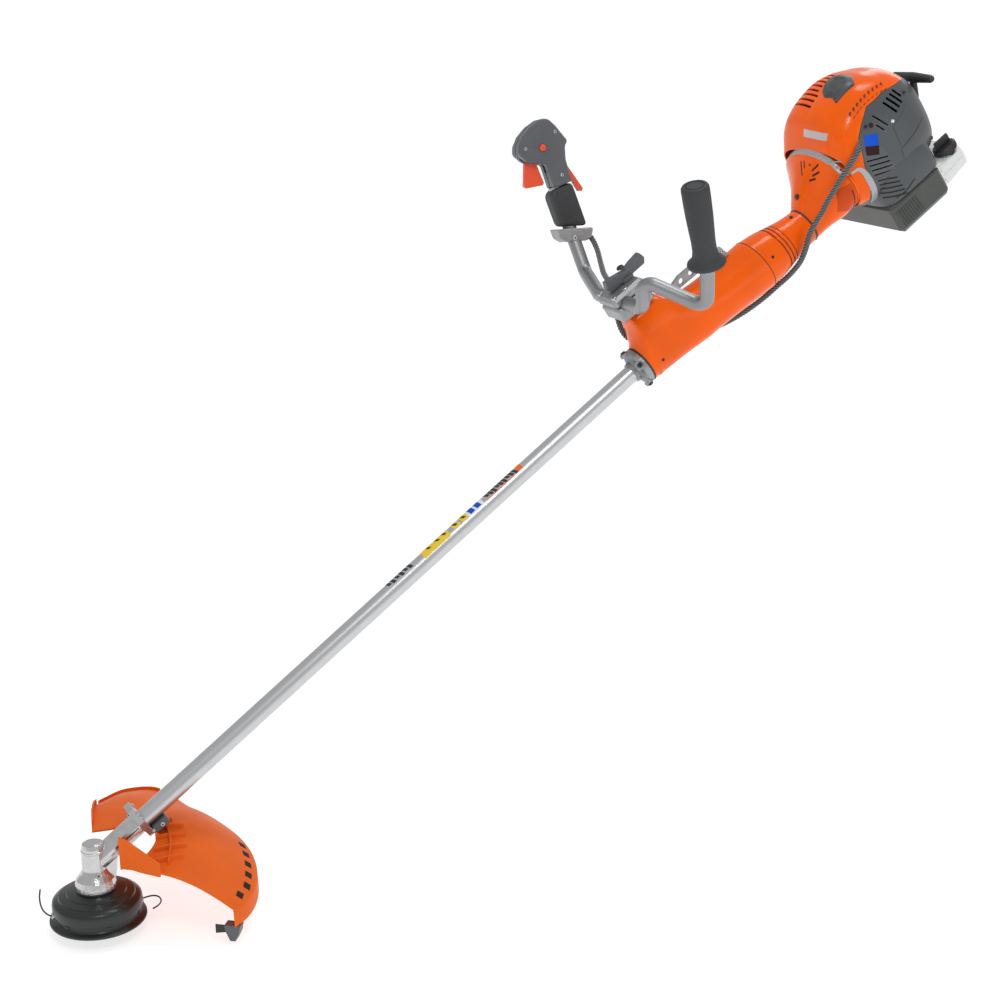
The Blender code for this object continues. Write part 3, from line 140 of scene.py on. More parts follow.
def turned(form: Form, profile: list[Pair], place: Matrix, steps: int = 64, ring: bool = False) -> None:
    """Adds a profile of (radius, height) turned about Z.

    Args:
        form: the bmesh it is added to.
        profile: its points, with a radius of 0 at an end that closes on the axis.
        place: matrix applied to the new points.
        steps: how many facets there are round the axis.
        ring: close the profile on itself.
    """
    columns = []
    for radius, height in profile:
        if radius == 0.0:
            vert = form.verts.new(place @ Vector((0.0, 0.0, height)))
            columns.append([vert] * steps)
            continue
        turns = (math.tau * i / steps for i in range(steps))
        columns.append([form.verts.new(place @ Vector((radius * math.cos(t), radius * math.sin(t), height)))
                        for t in turns])
    pairs = list(zip(columns, columns[1:]))
    if ring:
        pairs.append((columns[-1], columns[0]))
    for low, high in pairs:
        for i in range(steps):
            j = (i + 1) % steps
            corners = list(dict.fromkeys((low[i], low[j], high[j], high[i])))
            if len(corners) > 2:
                form.faces.new(corners)


def skinned(form: Form, rings: list[Ring], place: Matrix, caps: bool = True) -> None:
    """Adds a skin through closed rings of equally many points.

    Args:
        form: the bmesh it is added to.
        rings: the rings in order.
        place: matrix applied to the new points.
        caps: close both ends.
    """
    rows = [[form.verts.new(place @ Vector(point)) for point in ring] for ring in rings]
    count = len(rows[0])
    for low, high in zip(rows, rows[1:]):
        for i in range(count):
            j = (i + 1) % count
            form.faces.new((low[i], low[j], high[j], high[i]))
    if caps:
        form.faces.new(rows[0])
        form.faces.new(rows[-1])


def slab(form: Form, outline: list[Pair], thickness: float, place: Matrix) -> None:
    """Adds a flat outline in XY, thickened equally up and down.

    Args:
        form: the bmesh it is added to.
        outline: its corners.
        thickness: its height along Z.
        place: matrix applied to the new points.
    """
    rings = [[(x, y, z) for x, y in outline] for z in (-thickness / 2, thickness / 2)]
    skinned(form, rings, place)


def box_form(form: Form, size: Point, place: Matrix) -> None:
    """Adds a box of a given size, centred on the place's origin."""
    x, y, _ = (side / 2 for side in size)
    slab(form, [(-x, -y), (x, -y), (x, y), (-x, y)], size[2], place)


def at(x: float, y: float, z: float) -> Matrix:
    """Matrix of a move to a place."""
    return Matrix.Translation((x, y, z))


def rounded(obj: Piece, width: float, segments: int = 2) -> None:
    """Rounds an object's hard edges by a bevel modifier."""
    bevel = obj.modifiers.new("Rounded edges", "BEVEL")
    bevel.width = width
    bevel.segments = segments
    bevel.limit_method = "ANGLE"
    bevel.angle_limit = math.radians(40.0)
    bevel.harden_normals = False


def flow(points: list[Point], parts: int) -> list[Vector]:
    """Points of a Catmull-Rom curve through a route's own points.

    Args:
        points: the route.
        parts: how many steps each stretch takes.

    Returns:
        The curve's points.
    """
    places = [Vector(p) for p in points]
    ends = [2 * places[0] - places[1], *places, 2 * places[-1] - places[-2]]
    path = []
    for a, b, c, d in zip(ends, ends[1:], ends[2:], ends[3:]):
        for i in range(parts):
            t = i / parts
            path.append(0.5 * (2 * b + (c - a) * t + (2 * a - 5 * b + 4 * c - d) * t**2
                               + (3 * b - a - 3 * c + d) * t**3))
    path.append(places[-1])
    return path


def bowed(share: float, power: float) -> float:
    """A sine or cosine, drawn out towards the corners of a squarer oval when power is over 2."""
    return math.copysign(abs(share) ** (2 / power), share)


def oval(along: float, bottom: float, top: float, half: float, power: float = 2.0, waist: float | None = None,
         count: int = 64) -> Ring:
    """A closed section across the tube.

    Args:
        along: its place along the tube.
        bottom: its lowest point.
        top: its highest point.
        half: half its width.
        power: 2 for an ellipse, more for a squarer section.
        waist: the height of its widest point, midway when left out.
        count: how many points it has.

    Returns:
        The section's points in the tube's frame.
    """
    middle = (bottom + top) / 2 if waist is None else waist
    ring = []
    for i in range(count):
        turn = math.tau * i / count
        rise = math.sin(turn)
        reach = (top - middle) if rise >= 0 else (middle - bottom)
        ring.append((along, half * bowed(math.cos(turn), power), middle + reach * bowed(rise, power)))
    return ring


def smooth_rows(rows: list[tuple[float, ...]], parts: int) -> list[list[float]]:
    """Rows of a table with more rows put between them on a monotone cubic.

    Args:
        rows: the table, whose first column rises.
        parts: how many rows each gap becomes.

    Returns:
        The finer table.
    """
    def slope(column: int, i: int) -> float:
        """Slope of a column at a row, flat where the column turns."""
        if i in (0, len(rows) - 1):
            j = min(max(i, 1), len(rows) - 1)
            return (rows[j][column] - rows[j - 1][column]) / (rows[j][0] - rows[j - 1][0])
        before = (rows[i][column] - rows[i - 1][column]) / (rows[i][0] - rows[i - 1][0])
        after = (rows[i + 1][column] - rows[i][column]) / (rows[i + 1][0] - rows[i][0])
        return 0.0 if before * after <= 0 else 2 * before * after / (before + after)

    fine = []
    for i in range(len(rows) - 1):
        gap = rows[i + 1][0] - rows[i][0]
        for step in range(parts):
            t = step / parts
            row = [rows[i][0] + gap * t]
            for column in range(1, len(rows[0])):
                a, b = rows[i][column], rows[i + 1][column]
                ma, mb = slope(column, i) * gap, slope(column, i + 1) * gap
                row.append(a * (1 + 2 * t) * (1 - t) ** 2 + ma * t * (1 - t) ** 2
                           + b * t * t * (3 - 2 * t) + mb * t * t * (t - 1))
            fine.append(row)
    fine.append(list(rows[-1]))
    return fine


def cut(obj: Piece, cutter: Piece, operation: str = "DIFFERENCE") -> None:
    """Cuts one object by another for good, and removes the cutter.

    Args:
        obj: the object that is cut.
        cutter: the object that cuts it.
        operation: the Boolean modifier's operation.
    """
    boolean = obj.modifiers.new("Cut", "BOOLEAN")
    boolean.operation = operation
    boolean.solver = "EXACT"
    boolean.object = cutter
    bpy.context.view_layer.update()
    graph = bpy.context.evaluated_depsgraph_get()
    mesh = bpy.data.meshes.new_from_object(obj.evaluated_get(graph))
    obj.modifiers.clear()
    obj.data = mesh
    bpy.data.objects.remove(cutter, do_unlink=True)


# --- finishes ---------------------------------------------------------------------------------


def add_sockets(group: Group, inputs: dict[str, float], outputs: list[str]) -> None:
    """Gives a node group its float inputs with their defaults, and its float outputs."""
    for name, value in inputs.items():
        group.interface.new_socket(name=name, in_out="INPUT", socket_type="NodeSocketFloat").default_value = value
    for name in outputs:
        group.interface.new_socket(name=name, in_out="OUTPUT", socket_type="NodeSocketFloat")


def tuned(node: bpy.types.Node, values: dict[str, float | tuple[float, ...]]) -> bpy.types.Node:
    """Sets a node's inputs by their names, and gives the node back."""
    for name, value in values.items():
        node.inputs[name].default_value = value
    return node


def surface_grain_group() -> Group:
    """The node group of slow colour drift and fine moulded grain.

    Returns:
        A group with outputs Mottle and Grain, both from 0 to 1.
    """
    group = bpy.data.node_groups.new("SurfaceGrain", "ShaderNodeTree")
    add_sockets(group, {"Mottle Scale": 14.0, "Grain Scale": 900.0}, ["Mottle", "Grain"])
    nodes, links = group.nodes, group.links
    start, end = nodes.new("NodeGroupInput"), nodes.new("NodeGroupOutput")
    coordinates = nodes.new("ShaderNodeTexCoord")
    for socket, detail, output in (("Mottle Scale", 4.0, "Mottle"), ("Grain Scale", 2.0, "Grain")):
        noise = tuned(nodes.new("ShaderNodeTexNoise"), {"Detail": detail})
        links.new(coordinates.outputs["Object"], noise.inputs["Vector"])
        links.new(start.outputs[socket], noise.inputs["Scale"])
        spread = tuned(nodes.new("ShaderNodeMapRange"), {"From Min": 0.3, "From Max": 0.7})
        links.new(noise.outputs["Fac"], spread.inputs["Value"])
        links.new(spread.outputs["Result"], end.inputs[output])
    return group


def edge_wear_group() -> Group:
    """The node group of rubbed edges and handling scuffs.

    Returns:
        A group with one output, Mask, from 0 to 1.
    """
    group = bpy.data.node_groups.new("EdgeWear", "ShaderNodeTree")
    add_sockets(group, {"Amount": 0.3}, ["Mask"])
    nodes, links = group.nodes, group.links
    start, end = nodes.new("NodeGroupInput"), nodes.new("NodeGroupOutput")
    geometry = nodes.new("ShaderNodeNewGeometry")
    sharp = tuned(nodes.new("ShaderNodeMapRange"), {"From Min": 0.52, "From Max": 0.60})
    links.new(geometry.outputs["Pointiness"], sharp.inputs["Value"])
    coordinates = nodes.new("ShaderNodeTexCoord")
    noise = tuned(nodes.new("ShaderNodeTexNoise"), {"Scale": 120.0, "Detail": 5.0})
    links.new(coordinates.outputs["Object"], noise.inputs["Vector"])
    broken = nodes.new("ShaderNodeMath")
    broken.operation = "MULTIPLY"
    links.new(sharp.outputs["Result"], broken.inputs[0])
    links.new(noise.outputs["Fac"], broken.inputs[1])
    scaled = nodes.new("ShaderNodeMath")
    scaled.operation = "MULTIPLY"
    scaled.use_clamp = True
    links.new(broken.outputs[0], scaled.inputs[0])
    links.new(start.outputs["Amount"], scaled.inputs[1])
    links.new(scaled.outputs[0], end.inputs["Mask"])
    return group


@dataclass(frozen=True)
class Finish:
    """A finish: its base colours, gloss, grain and wear."""

    name: str
    colour: Point
    roughness: float
    metallic: float = 0.0
    shade: float = 0.12
    gloss_drift: float = 0.06
    coat: float = 0.0
    mottle_scale: float = 14.0
    grain_scale: float = 900.0
    grain_depth: float = 0.00003
    wear: float = 0.3
    worn: Point = (0.6, 0.6, 0.6)
    specular: float = 0.5
    subsurface: float = 0.0
    glow: float = 0.0

    def material(self) -> bpy.types.Material:
        """Builds the finish's material, or finds it if it is already built.

        Returns:
            The material.
        """
        made = bpy.data.materials.get(self.name)
        if made:
            return made
        material = bpy.data.materials.new(self.name)
        material.use_nodes = True
        nodes, links = material.node_tree.nodes, material.node_tree.links
        shader = tuned(nodes["Principled BSDF"], {
            "Metallic": self.metallic, "Coat Weight": self.coat, "Coat Roughness": 0.06,
            "Specular IOR Level": self.specular, "Subsurface Weight": self.subsurface,
            "Subsurface Scale": 0.004, "Emission Color": (1.0, 1.0, 1.0, 1.0), "Emission Strength": self.glow})
        grain, wear = nodes.new("ShaderNodeGroup"), nodes.new("ShaderNodeGroup")
        grain.node_tree, wear.node_tree = group_named("SurfaceGrain"), group_named("EdgeWear")
        tuned(grain, {"Mottle Scale": self.mottle_scale, "Grain Scale": self.grain_scale})
        tuned(wear, {"Amount": self.wear})
        drift = nodes.new("ShaderNodeMix")
        drift.data_type = "RGBA"
        drift.inputs["A"].default_value = (*self.colour, 1.0)
        drift.inputs["B"].default_value = (*(c * (1 - self.shade) for c in self.colour), 1.0)
        links.new(grain.outputs["Mottle"], drift.inputs["Factor"])
        rubbed = nodes.new("ShaderNodeMix")
        rubbed.data_type = "RGBA"
        rubbed.inputs["B"].default_value = (*self.worn, 1.0)
        links.new(wear.outputs["Mask"], rubbed.inputs["Factor"])
        links.new(drift.outputs["Result"], rubbed.inputs["A"])
        links.new(rubbed.outputs["Result"], shader.inputs["Base Color"])
        gloss = tuned(nodes.new("ShaderNodeMapRange"),
                      {"To Min": self.roughness, "To Max": self.roughness + self.gloss_drift})
        links.new(grain.outputs["Mottle"], gloss.inputs["Value"])
        links.new(gloss.outputs["Result"], shader.inputs["Roughness"])
        bump = tuned(nodes.new("ShaderNodeBump"), {"Strength": 0.6, "Distance": self.grain_depth})
        links.new(grain.outputs["Grain"], bump.inputs["Height"])
        links.new(bump.outputs["Normal"], shader.inputs["Normal"])
        return material

    def dress(self, obj: Piece) -> Piece:
        """Puts the finish on an object in place of what it has."""
        obj.data.materials.clear()
        obj.data.materials.append(self.material())
        return obj


def group_named(name: str) -> Group:
    """The shader node group of that name, built at its first use."""
    makers = {"SurfaceGrain": surface_grain_group, "EdgeWear": edge_wear_group}
    return bpy.data.node_groups.get(name) or makers[name]()


class Look(Enum):
    """Every finish on the trimmer."""

    ORANGE = Finish("gloss_orange", (0.93, 0.118, 0.0), 0.17, coat=0.10, shade=0.14, worn=(1.0, 0.25, 0.05),
                    specular=0.14)
    GUARD = Finish("matt_orange", (0.84, 0.135, 0.010), 0.45, shade=0.12, grain_depth=0.00006, specular=0.14,
                   worn=(1.0, 0.25, 0.05))
    TUBE = Finish("satin_aluminium", (0.56, 0.57, 0.58), 0.30, metallic=1.0, shade=0.05, mottle_scale=60.0,
                  wear=0.0)
    BAR = Finish("dull_aluminium", (0.31, 0.32, 0.33), 0.40, metallic=1.0, shade=0.08)
    GEARCASE = Finish("cast_aluminium", (0.60, 0.60, 0.61), 0.20, metallic=1.0, shade=0.14, mottle_scale=90.0,
                      grain_scale=420.0, grain_depth=0.00010)
    CAST = Finish("grey_casting", (0.22, 0.23, 0.24), 0.42, metallic=0.75, grain_scale=520.0,
                  grain_depth=0.00012, wear=0.6)
    STEEL = Finish("bright_steel", (0.52, 0.52, 0.53), 0.27, metallic=1.0, shade=0.10)
    HEAD_BLACK = Finish("satin_black", (0.012, 0.016, 0.016), 0.26, shade=0.3, worn=(0.05, 0.055, 0.055))
    BLACK = Finish("moulded_black", (0.016, 0.017, 0.018), 0.42, shade=0.3, worn=(0.05, 0.05, 0.05))
    RUBBER = Finish("grip_rubber", (0.030, 0.034, 0.037), 0.60, shade=0.25, grain_scale=1400.0,
                    grain_depth=0.00008, worn=(0.07, 0.075, 0.08))
    GREY = Finish("handle_grey", (0.085, 0.092, 0.102), 0.40, shade=0.12, grain_depth=0.00005,
                  worn=(0.16, 0.17, 0.18))
    HOUSING = Finish("housing_grey", (0.068, 0.075, 0.081), 0.34, shade=0.14, grain_depth=0.00005,
                     worn=(0.17, 0.18, 0.19))
    OLIVE = Finish("tank_guard_grey", (0.055, 0.060, 0.056), 0.40, shade=0.15, worn=(0.10, 0.11, 0.10))
    TRIM = Finish("trim_grey", (0.40, 0.41, 0.42), 0.34, metallic=0.4, shade=0.08)
    RED = Finish("trigger_orange", (0.80, 0.055, 0.008), 0.34, shade=0.12, worn=(0.95, 0.16, 0.05))
    TANK = Finish("tank_white", (0.78, 0.80, 0.79), 0.34, shade=0.05, subsurface=0.35, wear=0.0)
    # near black: painted shade standing in slot openings, holes and screw sockets, and the colour of dark seams
    OPENING_SHADE_AND_JOINT = Finish("opening_shade_and_seam_black", (0.006, 0.006, 0.006), 0.75, shade=0.3, wear=0.0)
    CABLE = Finish("cable_grey", (0.17, 0.18, 0.185), 0.42, shade=0.3, mottle_scale=300.0, wear=0.0)
    # the gloss orange darkened to about a tenth: painted shade in grooves, scallop dips and dashes, and the dark joint
    # between two mouldings
    JOINT_AND_HOLLOW_SHADE = Finish("joint_and_hollow_shade_orange", (0.10, 0.012, 0.002), 0.55, shade=0.2, wear=0.0)
    DEEP_ORANGE = Finish("deep_orange", (0.60, 0.062, 0.001), 0.26, coat=0.1, worn=(0.8, 0.2, 0.05), specular=0.14)
    INSERT = Finish("insert_grey", (0.042, 0.046, 0.048), 0.36, shade=0.12, worn=(0.10, 0.10, 0.10))
    LINE = Finish("line_black", (0.02, 0.02, 0.022), 0.35, shade=0.2, wear=0.0)
    YELLOW = Finish("label_yellow", (0.85, 0.60, 0.03), 0.35, wear=0.0)
    BLUE = Finish("label_blue", (0.0, 0.085, 0.60), 0.28, wear=0.0, specular=0.15)
    MAROON = Finish("label_maroon", (0.030, 0.006, 0.006), 0.35, wear=0.0, specular=0.15)
    WHITE = Finish("label_white", (0.80, 0.80, 0.80), 0.35, wear=0.0)
    SILVER_MARK = Finish("label_silver", (0.55, 0.50, 0.50), 0.30, metallic=0.5, wear=0.0)


CAD_LOOKS: dict[Look, str] = {
    Look.TUBE: "drive_tube piston carburettor",
    Look.STEEL: "drive_shaft pinion_gear driven_gear output_shaft output_bearing bump_spring guard_bracket "
                "crankshaft clutch_drum muffler spark_plug",
    Look.BLACK: "shaft_bush_1 shaft_bush_2 line_cutter starter_pulley starter_handle fuel_cap choke_lever",
    Look.GEARCASE: "gearbox_housing",
    Look.HEAD_BLACK: "head_housing head_cover bump_knob",
    Look.GREY: "line_spool cutter_holder clamp_knob throttle_handle_inner throttle_handle_outer plug_cover",
    Look.LINE: "cutting_line_left cutting_line_right",
    Look.GUARD: "guard",
    Look.CAST: "flange_collar harness_rail handlebar_bracket handlebar_clamp_cap handle_clamp crankcase "
               "cylinder flywheel",
    Look.RUBBER: "collar_gasket left_grip throttle_grip throttle_cable_upper throttle_cable_lower primer_bulb",
    Look.ORANGE: "front_shroud rear_shroud clutch_cover trim_band top_cover",
    Look.BAR: "handlebar",
    Look.RED: "throttle_trigger lockout_lever stop_button",
    Look.HOUSING: "starter_housing",
    Look.TANK: "fuel_tank",
    Look.OLIVE: "tank_guard",
}

ROUNDED_NODES: dict[str, float] = {
    "handlebar_bracket": 0.0012, "handlebar_clamp_cap": 0.0012, "clamp_knob": 0.0012, "cutter_holder": 0.0015,
    "throttle_trigger": 0.0012, "lockout_lever": 0.0010, "stop_button": 0.0006, "handle_clamp": 0.0010,
    "fuel_cap": 0.0008, "tank_guard": 0.0010, "choke_lever": 0.0006, "guard_bracket": 0.0006,
    "harness_rail": 0.0005,
}


def dress_nodes() -> None:
    """Gives every solid its finish, smooth shading and, where they show, rounded edges."""
    for look, names in CAD_LOOKS.items():
        for name in names.split():
            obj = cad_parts[name]
            look.value.dress(obj)
            shade(obj)
            if name in ROUNDED_NODES:
                rounded(obj, ROUNDED_NODES[name])


def mount(obj: Piece, body: str, look: Look) -> Piece:
    """Dresses a new piece and puts it on its body.

    Args:
        obj: the piece.
        body: the body that it rides.
        look: its finish.

    Returns:
        The same piece.
    """
    look.value.dress(obj)
    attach(obj, body)
    LOG.info("%s rides %s", obj.name, body)
    return obj


# --- laying fittings on a shell ---------------------------------------------------------------


@dataclass(frozen=True)
class Skin:
    """The outer surface of some solids, which fittings are laid on or cut through."""

    tree: BVHTree
    place: Matrix
    reach: float = 0.03

    @staticmethod
    def over(place: Matrix, *objects: Piece) -> "Skin":
        """Makes the skin of some objects.

        Args:
            place: matrix of the frame that fittings are laid out in.
            objects: the solids it covers.

        Returns:
            The skin.
        """
        points, faces = [], []
        for obj in objects:
            base = len(points)
            points += [v.co.copy() for v in obj.data.vertices]
            faces += [[base + i for i in p.vertices] for p in obj.data.polygons]
        return Skin(BVHTree.FromPolygons(points, faces), place)

    def touch(self, point: Point, way: Point) -> tuple[Vector, Vector, Vector]:
        """Drops a point onto the skin.

        Args:
            point: a place near the skin.
            way: the direction it drops in.

        Returns:
            Where it lands, the skin's outward normal there, and the unit way, all in the row frame.
        """
        fall = (self.place.to_3x3() @ Vector(way)).normalized()
        goal = self.place @ Vector(point)
        hit, normal, _, _ = self.tree.ray_cast(goal - fall * self.reach, fall)
        if hit is None:
            hit, normal, _, _ = self.tree.find_nearest(goal)
        return hit, normal if normal.dot(fall) < 0 else -normal, fall

    def seat(self, point: Point, way: Point) -> Matrix:
        """Matrix of a frame on the skin, with Z out of it."""
        hit, normal, _ = self.touch(point, way)
        return Matrix.Translation(hit) @ normal.to_track_quat("Z", "Y").to_matrix().to_4x4()

    def lay(self, form: Form, rows: list[list[Point]], way: Point, proud: float = HAIR,
            sink: float = 0.0012) -> None:
        """Adds a closed sheet that lies on the skin.

        Args:
            form: the bmesh it is added to, in the row frame.
            rows: its points near the skin, in rows of equal length.
            way: the direction in which they drop onto the skin.
            proud: how far its face stands off the skin.
            sink: how far its back lies under the skin.
        """
        tops, backs = [], []
        for row in rows:
            top, back = [], []
            for point in row:
                hit, normal, fall = self.touch(point, way)
                lean = max(0.35, abs(normal.dot(fall)))
                top.append(form.verts.new(hit - fall * proud / lean))
                back.append(form.verts.new(hit + fall * sink / lean))
            tops.append(top)
            backs.append(back)
        for layer in (tops, backs):
            for low, high in zip(layer, layer[1:]):
                for i in range(len(low) - 1):
                    form.faces.new((low[i], low[i + 1], high[i + 1], high[i]))
        rim = rim_of(tops)
        under = rim_of(backs)
        for i, vert in enumerate(rim):
            j = (i + 1) % len(rim)
            form.faces.new((vert, rim[j], under[j], under[i]))

    def patch(self, form: Form, corners: tuple[Point, Point, Point, Point], way: Point,
              proud: float = HAIR, sink: float = 0.0012, steps: tuple[int, int] = (8, 2)) -> None:
        """Adds a four-cornered sheet that lies on the skin.

        Args:
            form: the bmesh it is added to, in the row frame.
            corners: its corners in order round it.
            way: the direction in which it drops onto the skin.
            proud: how far its face stands off the skin.
            sink: how far its back lies under the skin.
            steps: how many cells it has from the first corner to the second, and to the fourth.
        """
        a, b, c, d = (Vector(corner) for corner in corners)
        rows = []
        for j in range(steps[1] + 1):
            start, end = a.lerp(d, j / steps[1]), b.lerp(c, j / steps[1])
            rows.append([tuple(start.lerp(end, i / steps[0])) for i in range(steps[0] + 1)])
        self.lay(form, rows, way, proud, sink)

    def ribbon(self, form: Form, line: list[tuple[float, float, float, float]], way: Point,
               proud: float = HAIR, sink: float = 0.0012, parts: int = 4) -> None:
        """Adds a strip that follows a smooth line on the skin.

        Args:
            form: the bmesh it is added to, in the row frame.
            line: its middle line's points, each with the strip's half width there.
            way: the direction in which it drops onto the skin.
            proud: how far its face stands off the skin.
            sink: how far its back lies under the skin.
            parts: how many steps each stretch of the line takes.
        """
        middle = flow([(x, y, z) for x, y, z, _ in line], parts)
        fall = Vector(way).normalized()
        rows = []
        for i, point in enumerate(middle):
            step = middle[min(i + 1, len(middle) - 1)] - middle[max(i - 1, 0)]
            side = step.cross(fall).normalized()
            low = min(i // parts, len(line) - 2)
            share = i / parts - low
            half = line[low][3] * (1 - share) + line[low + 1][3] * share
            rows.append([tuple(point + side * half * k / 2) for k in (-2, -1, 0, 1, 2)])
        self.lay(form, rows, way, proud, sink)


def rim_of(rows: list[list[bmesh.types.BMVert]]) -> list[bmesh.types.BMVert]:
    """The points round the edge of a grid, in order."""
    left = [row[0] for row in rows[1:-1]]
    right = [row[-1] for row in rows[1:-1]]
    return [*rows[0], *right, *reversed(rows[-1]), *reversed(left)]


def line_of(start: Point, end: Point, half: float) -> list[tuple[float, float, float, float]]:
    """A straight line for a ribbon, from start to end."""
    a, b = Vector(start), Vector(end)
    return [(*a.lerp(b, t), half) for t in (0.0, 0.5, 1.0)]


class Screws:
    """Round screw heads with hexagon sockets, gathered into one piece of heads and one of dark hexagons, which are
    painted shade standing in the socket holes.
    """

    def __init__(self) -> None:
        """Starts with no screws."""
        self.heads, self.sockets = form_of(), form_of()

    def add(self, radius: float, place: Matrix) -> None:
        """Adds a screw.

        Args:
            radius: the head's radius.
            place: its frame, with Z out of the seat.
        """
        height = radius * 0.62
        turned(self.heads, [(0.0, -height), (radius, -height), (radius, height * 0.72), (radius * 0.84, height),
                            (radius * 0.5, height), (radius * 0.46, height * 0.8), (0.0, height * 0.8)], place,
               steps=28)
        # a dark hexagon in the head's dip: painted shade of the socket hole
        turned(self.sockets, [(0.0, height * 0.5), (radius * 0.44, height * 0.5), (radius * 0.44, height * 0.88),
                              (0.0, height * 0.88)], place, steps=6)

    def finish(self, owner: str, look: Look = Look.STEEL, slot: str = "steel", body: str = "frame") -> None:
        """Makes the pieces OWNER_screws and OWNER_sockets.

        Args:
            owner: what the screws belong to.
            look: the heads' finish.
            slot: the heads' material slot.
            body: the body that they ride.
        """
        finish_form(f"{owner}_screws", self.heads, body, look, slot)
        finish_form(f"{owner}_sockets", self.sockets, body, Look.OPENING_SHADE_AND_JOINT, "black_plastic")


def disc(form: Form, radius: float, place: Matrix, steps: int) -> None:
    """Adds a thin disc that stands a hair off its seat."""
    turned(form, [(0.0, -0.001), (radius, -0.001), (radius, HAIR), (0.0, HAIR)], place, steps=steps)


def form_of() -> Form:
    """An empty bmesh."""
    return bmesh.new()


def finish_form(name: str, form: Form, body: str, look: Look, slot: str,
                bevel: float = 0.0) -> Piece:
    """Links a bmesh already in the row frame as a piece.

    Args:
        name: the piece's name.
        form: its shape, which is freed.
        body: the body that it rides.
        look: its finish.
        slot: the material slot; not used.
        bevel: the width its edges are rounded by, if any.

    Returns:
        The piece.
    """
    obj = new_piece(name, form)
    if bevel:
        rounded(obj, bevel)
    return mount(obj, body, look)


def finish_forms(*rows: tuple[str, Form, Look, str] | tuple[str, Form, Look, str, float]) -> None:
    """Links several bmeshes as pieces that ride the frame, each given as finish_form takes it but for the body."""
    for name, form, *rest in rows:
        finish_form(name, form, "frame", *rest)


# --- sub-assemblies ---------------------------------------------------------------------------


@dataclass
class DriveTube:
    """The smooth drive tube, with its labels and the collar's screws."""

    tube_bore: float = 0.0125
    tube_start: float = 0.052
    tube_length: float = 1.443
    label_stand: float = 0.0005
    collar_along: float = 1.110
    collar_radius: float = 0.0305
    label_low: float = 62.0

    def label(self, form: Form, start: float, end: float, low: float, high: float, stand: float = 0.0,
              lean: float = 0.0) -> None:
        """Adds a curved label.

        Args:
            form: the bmesh it is added to.
            start: where it starts along the tube.
            end: where it ends.
            low: its lower angle round the tube, in degrees from +Y.
            high: its upper angle.
            stand: how far it stands off the labels under it.
            lean: how far its upper edge is moved along the tube.
        """
        outer = TUBE_RADIUS + self.label_stand + stand
        rings = []
        for i in range(9):
            turn = math.radians(low + (high - low) * i / 8)
            shift = lean * i / 8
            ring = []
            for along, radius in ((start, outer), (end, outer), (end, TUBE_RADIUS - 0.001),
                                  (start, TUBE_RADIUS - 0.001)):
                ring.append((along + shift, radius * math.cos(turn), radius * math.sin(turn)))
            rings.append(ring)
        skinned(form, rings, TUBE)

    def labels(self) -> None:
        """Lays plain coloured labels along the tube."""
        yellow, black, blue, orange, white = (form_of() for _ in range(5))
        self.label(yellow, 0.662, 0.716, self.label_low, 140.0)
        for start in (0.672, 0.690, 0.704):
            self.label(black, start, start + 0.005, 84.0, 108.0, 0.0003, 0.004)
        for start in (0.722, 0.739):
            self.label(yellow, start, start + 0.013, 66.0, 128.0, lean=0.004)
            self.label(black, start + 0.004, start + 0.009, 84.0, 112.0, 0.0003, 0.004)
        self.label(white, 0.7545, 0.787, 62.0, 134.0)
        for start in (0.758, 0.771):
            self.label(blue, start, start + 0.009, 74.0, 126.0, 0.0003, 0.002)
        for i in range(6):
            self.label(black, 0.590 + 0.0085 * i, 0.5955 + 0.0085 * i, 76.0, 110.0 + 10.0 * (i % 2), lean=0.003)
        for i in range(9):
            self.label(black, 0.793 + 0.0072 * i, 0.7978 + 0.0072 * i, 74.0, 112.0 + 8.0 * (i % 3), lean=0.004)
        self.label(orange, 0.7925, 0.851, 126.0, 131.0)
        self.label(orange, 0.859, 0.869, 72.0, 126.0)
        finish_forms(
            ("label_yellow", yellow, Look.YELLOW, "white_plastic"),
            ("label_black", black, Look.BLACK, "black_plastic"),
            ("label_blue", blue, Look.BLUE, "white_plastic"),
            ("label_orange", orange, Look.ORANGE, "orange_plastic"),
            ("label_ground", white, Look.WHITE, "white_plastic"))

    def collar_screws(self) -> None:
        """The socket screws round the flange collar, each on a lug."""
        screws, lugs = Screws(), form_of()
        for degrees in (72.0, 150.0, 228.0):
            turn = math.radians(degrees)
            outward = Vector((0.0, math.cos(turn), math.sin(turn)))
            seat = TUBE @ at(self.collar_along, *(outward * self.collar_radius)[1:]) @ (
                outward.to_track_quat("Z", "X").to_matrix().to_4x4())
            turned(lugs, [(0.0, -0.004), (0.0078, -0.004), (0.0072, 0.0012), (0.0064, 0.0018), (0.0, 0.0018)], seat,
                   steps=32)
            screws.add(0.0042, seat @ at(0, 0, 0.0016))
        finish_form("collar_lugs", lugs, "frame", Look.CAST, "cast_alloy")
        screws.finish("collar", Look.BLACK, "black_plastic")

    def build(self) -> None:
        """Builds the smooth tube and its fittings."""
        sleeve = form_of()
        length = self.tube_length
        turned(sleeve, [(self.tube_bore, 0.0), (TUBE_RADIUS, 0.0), (TUBE_RADIUS, length), (self.tube_bore, length)],
               TUBE @ at(self.tube_start, 0, 0) @ ALONG, steps=96, ring=True)
        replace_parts(finish_form("drive_tube_sleeve", sleeve, "frame", Look.TUBE, "aluminium"), "drive_tube")
        self.labels()
        self.collar_screws()


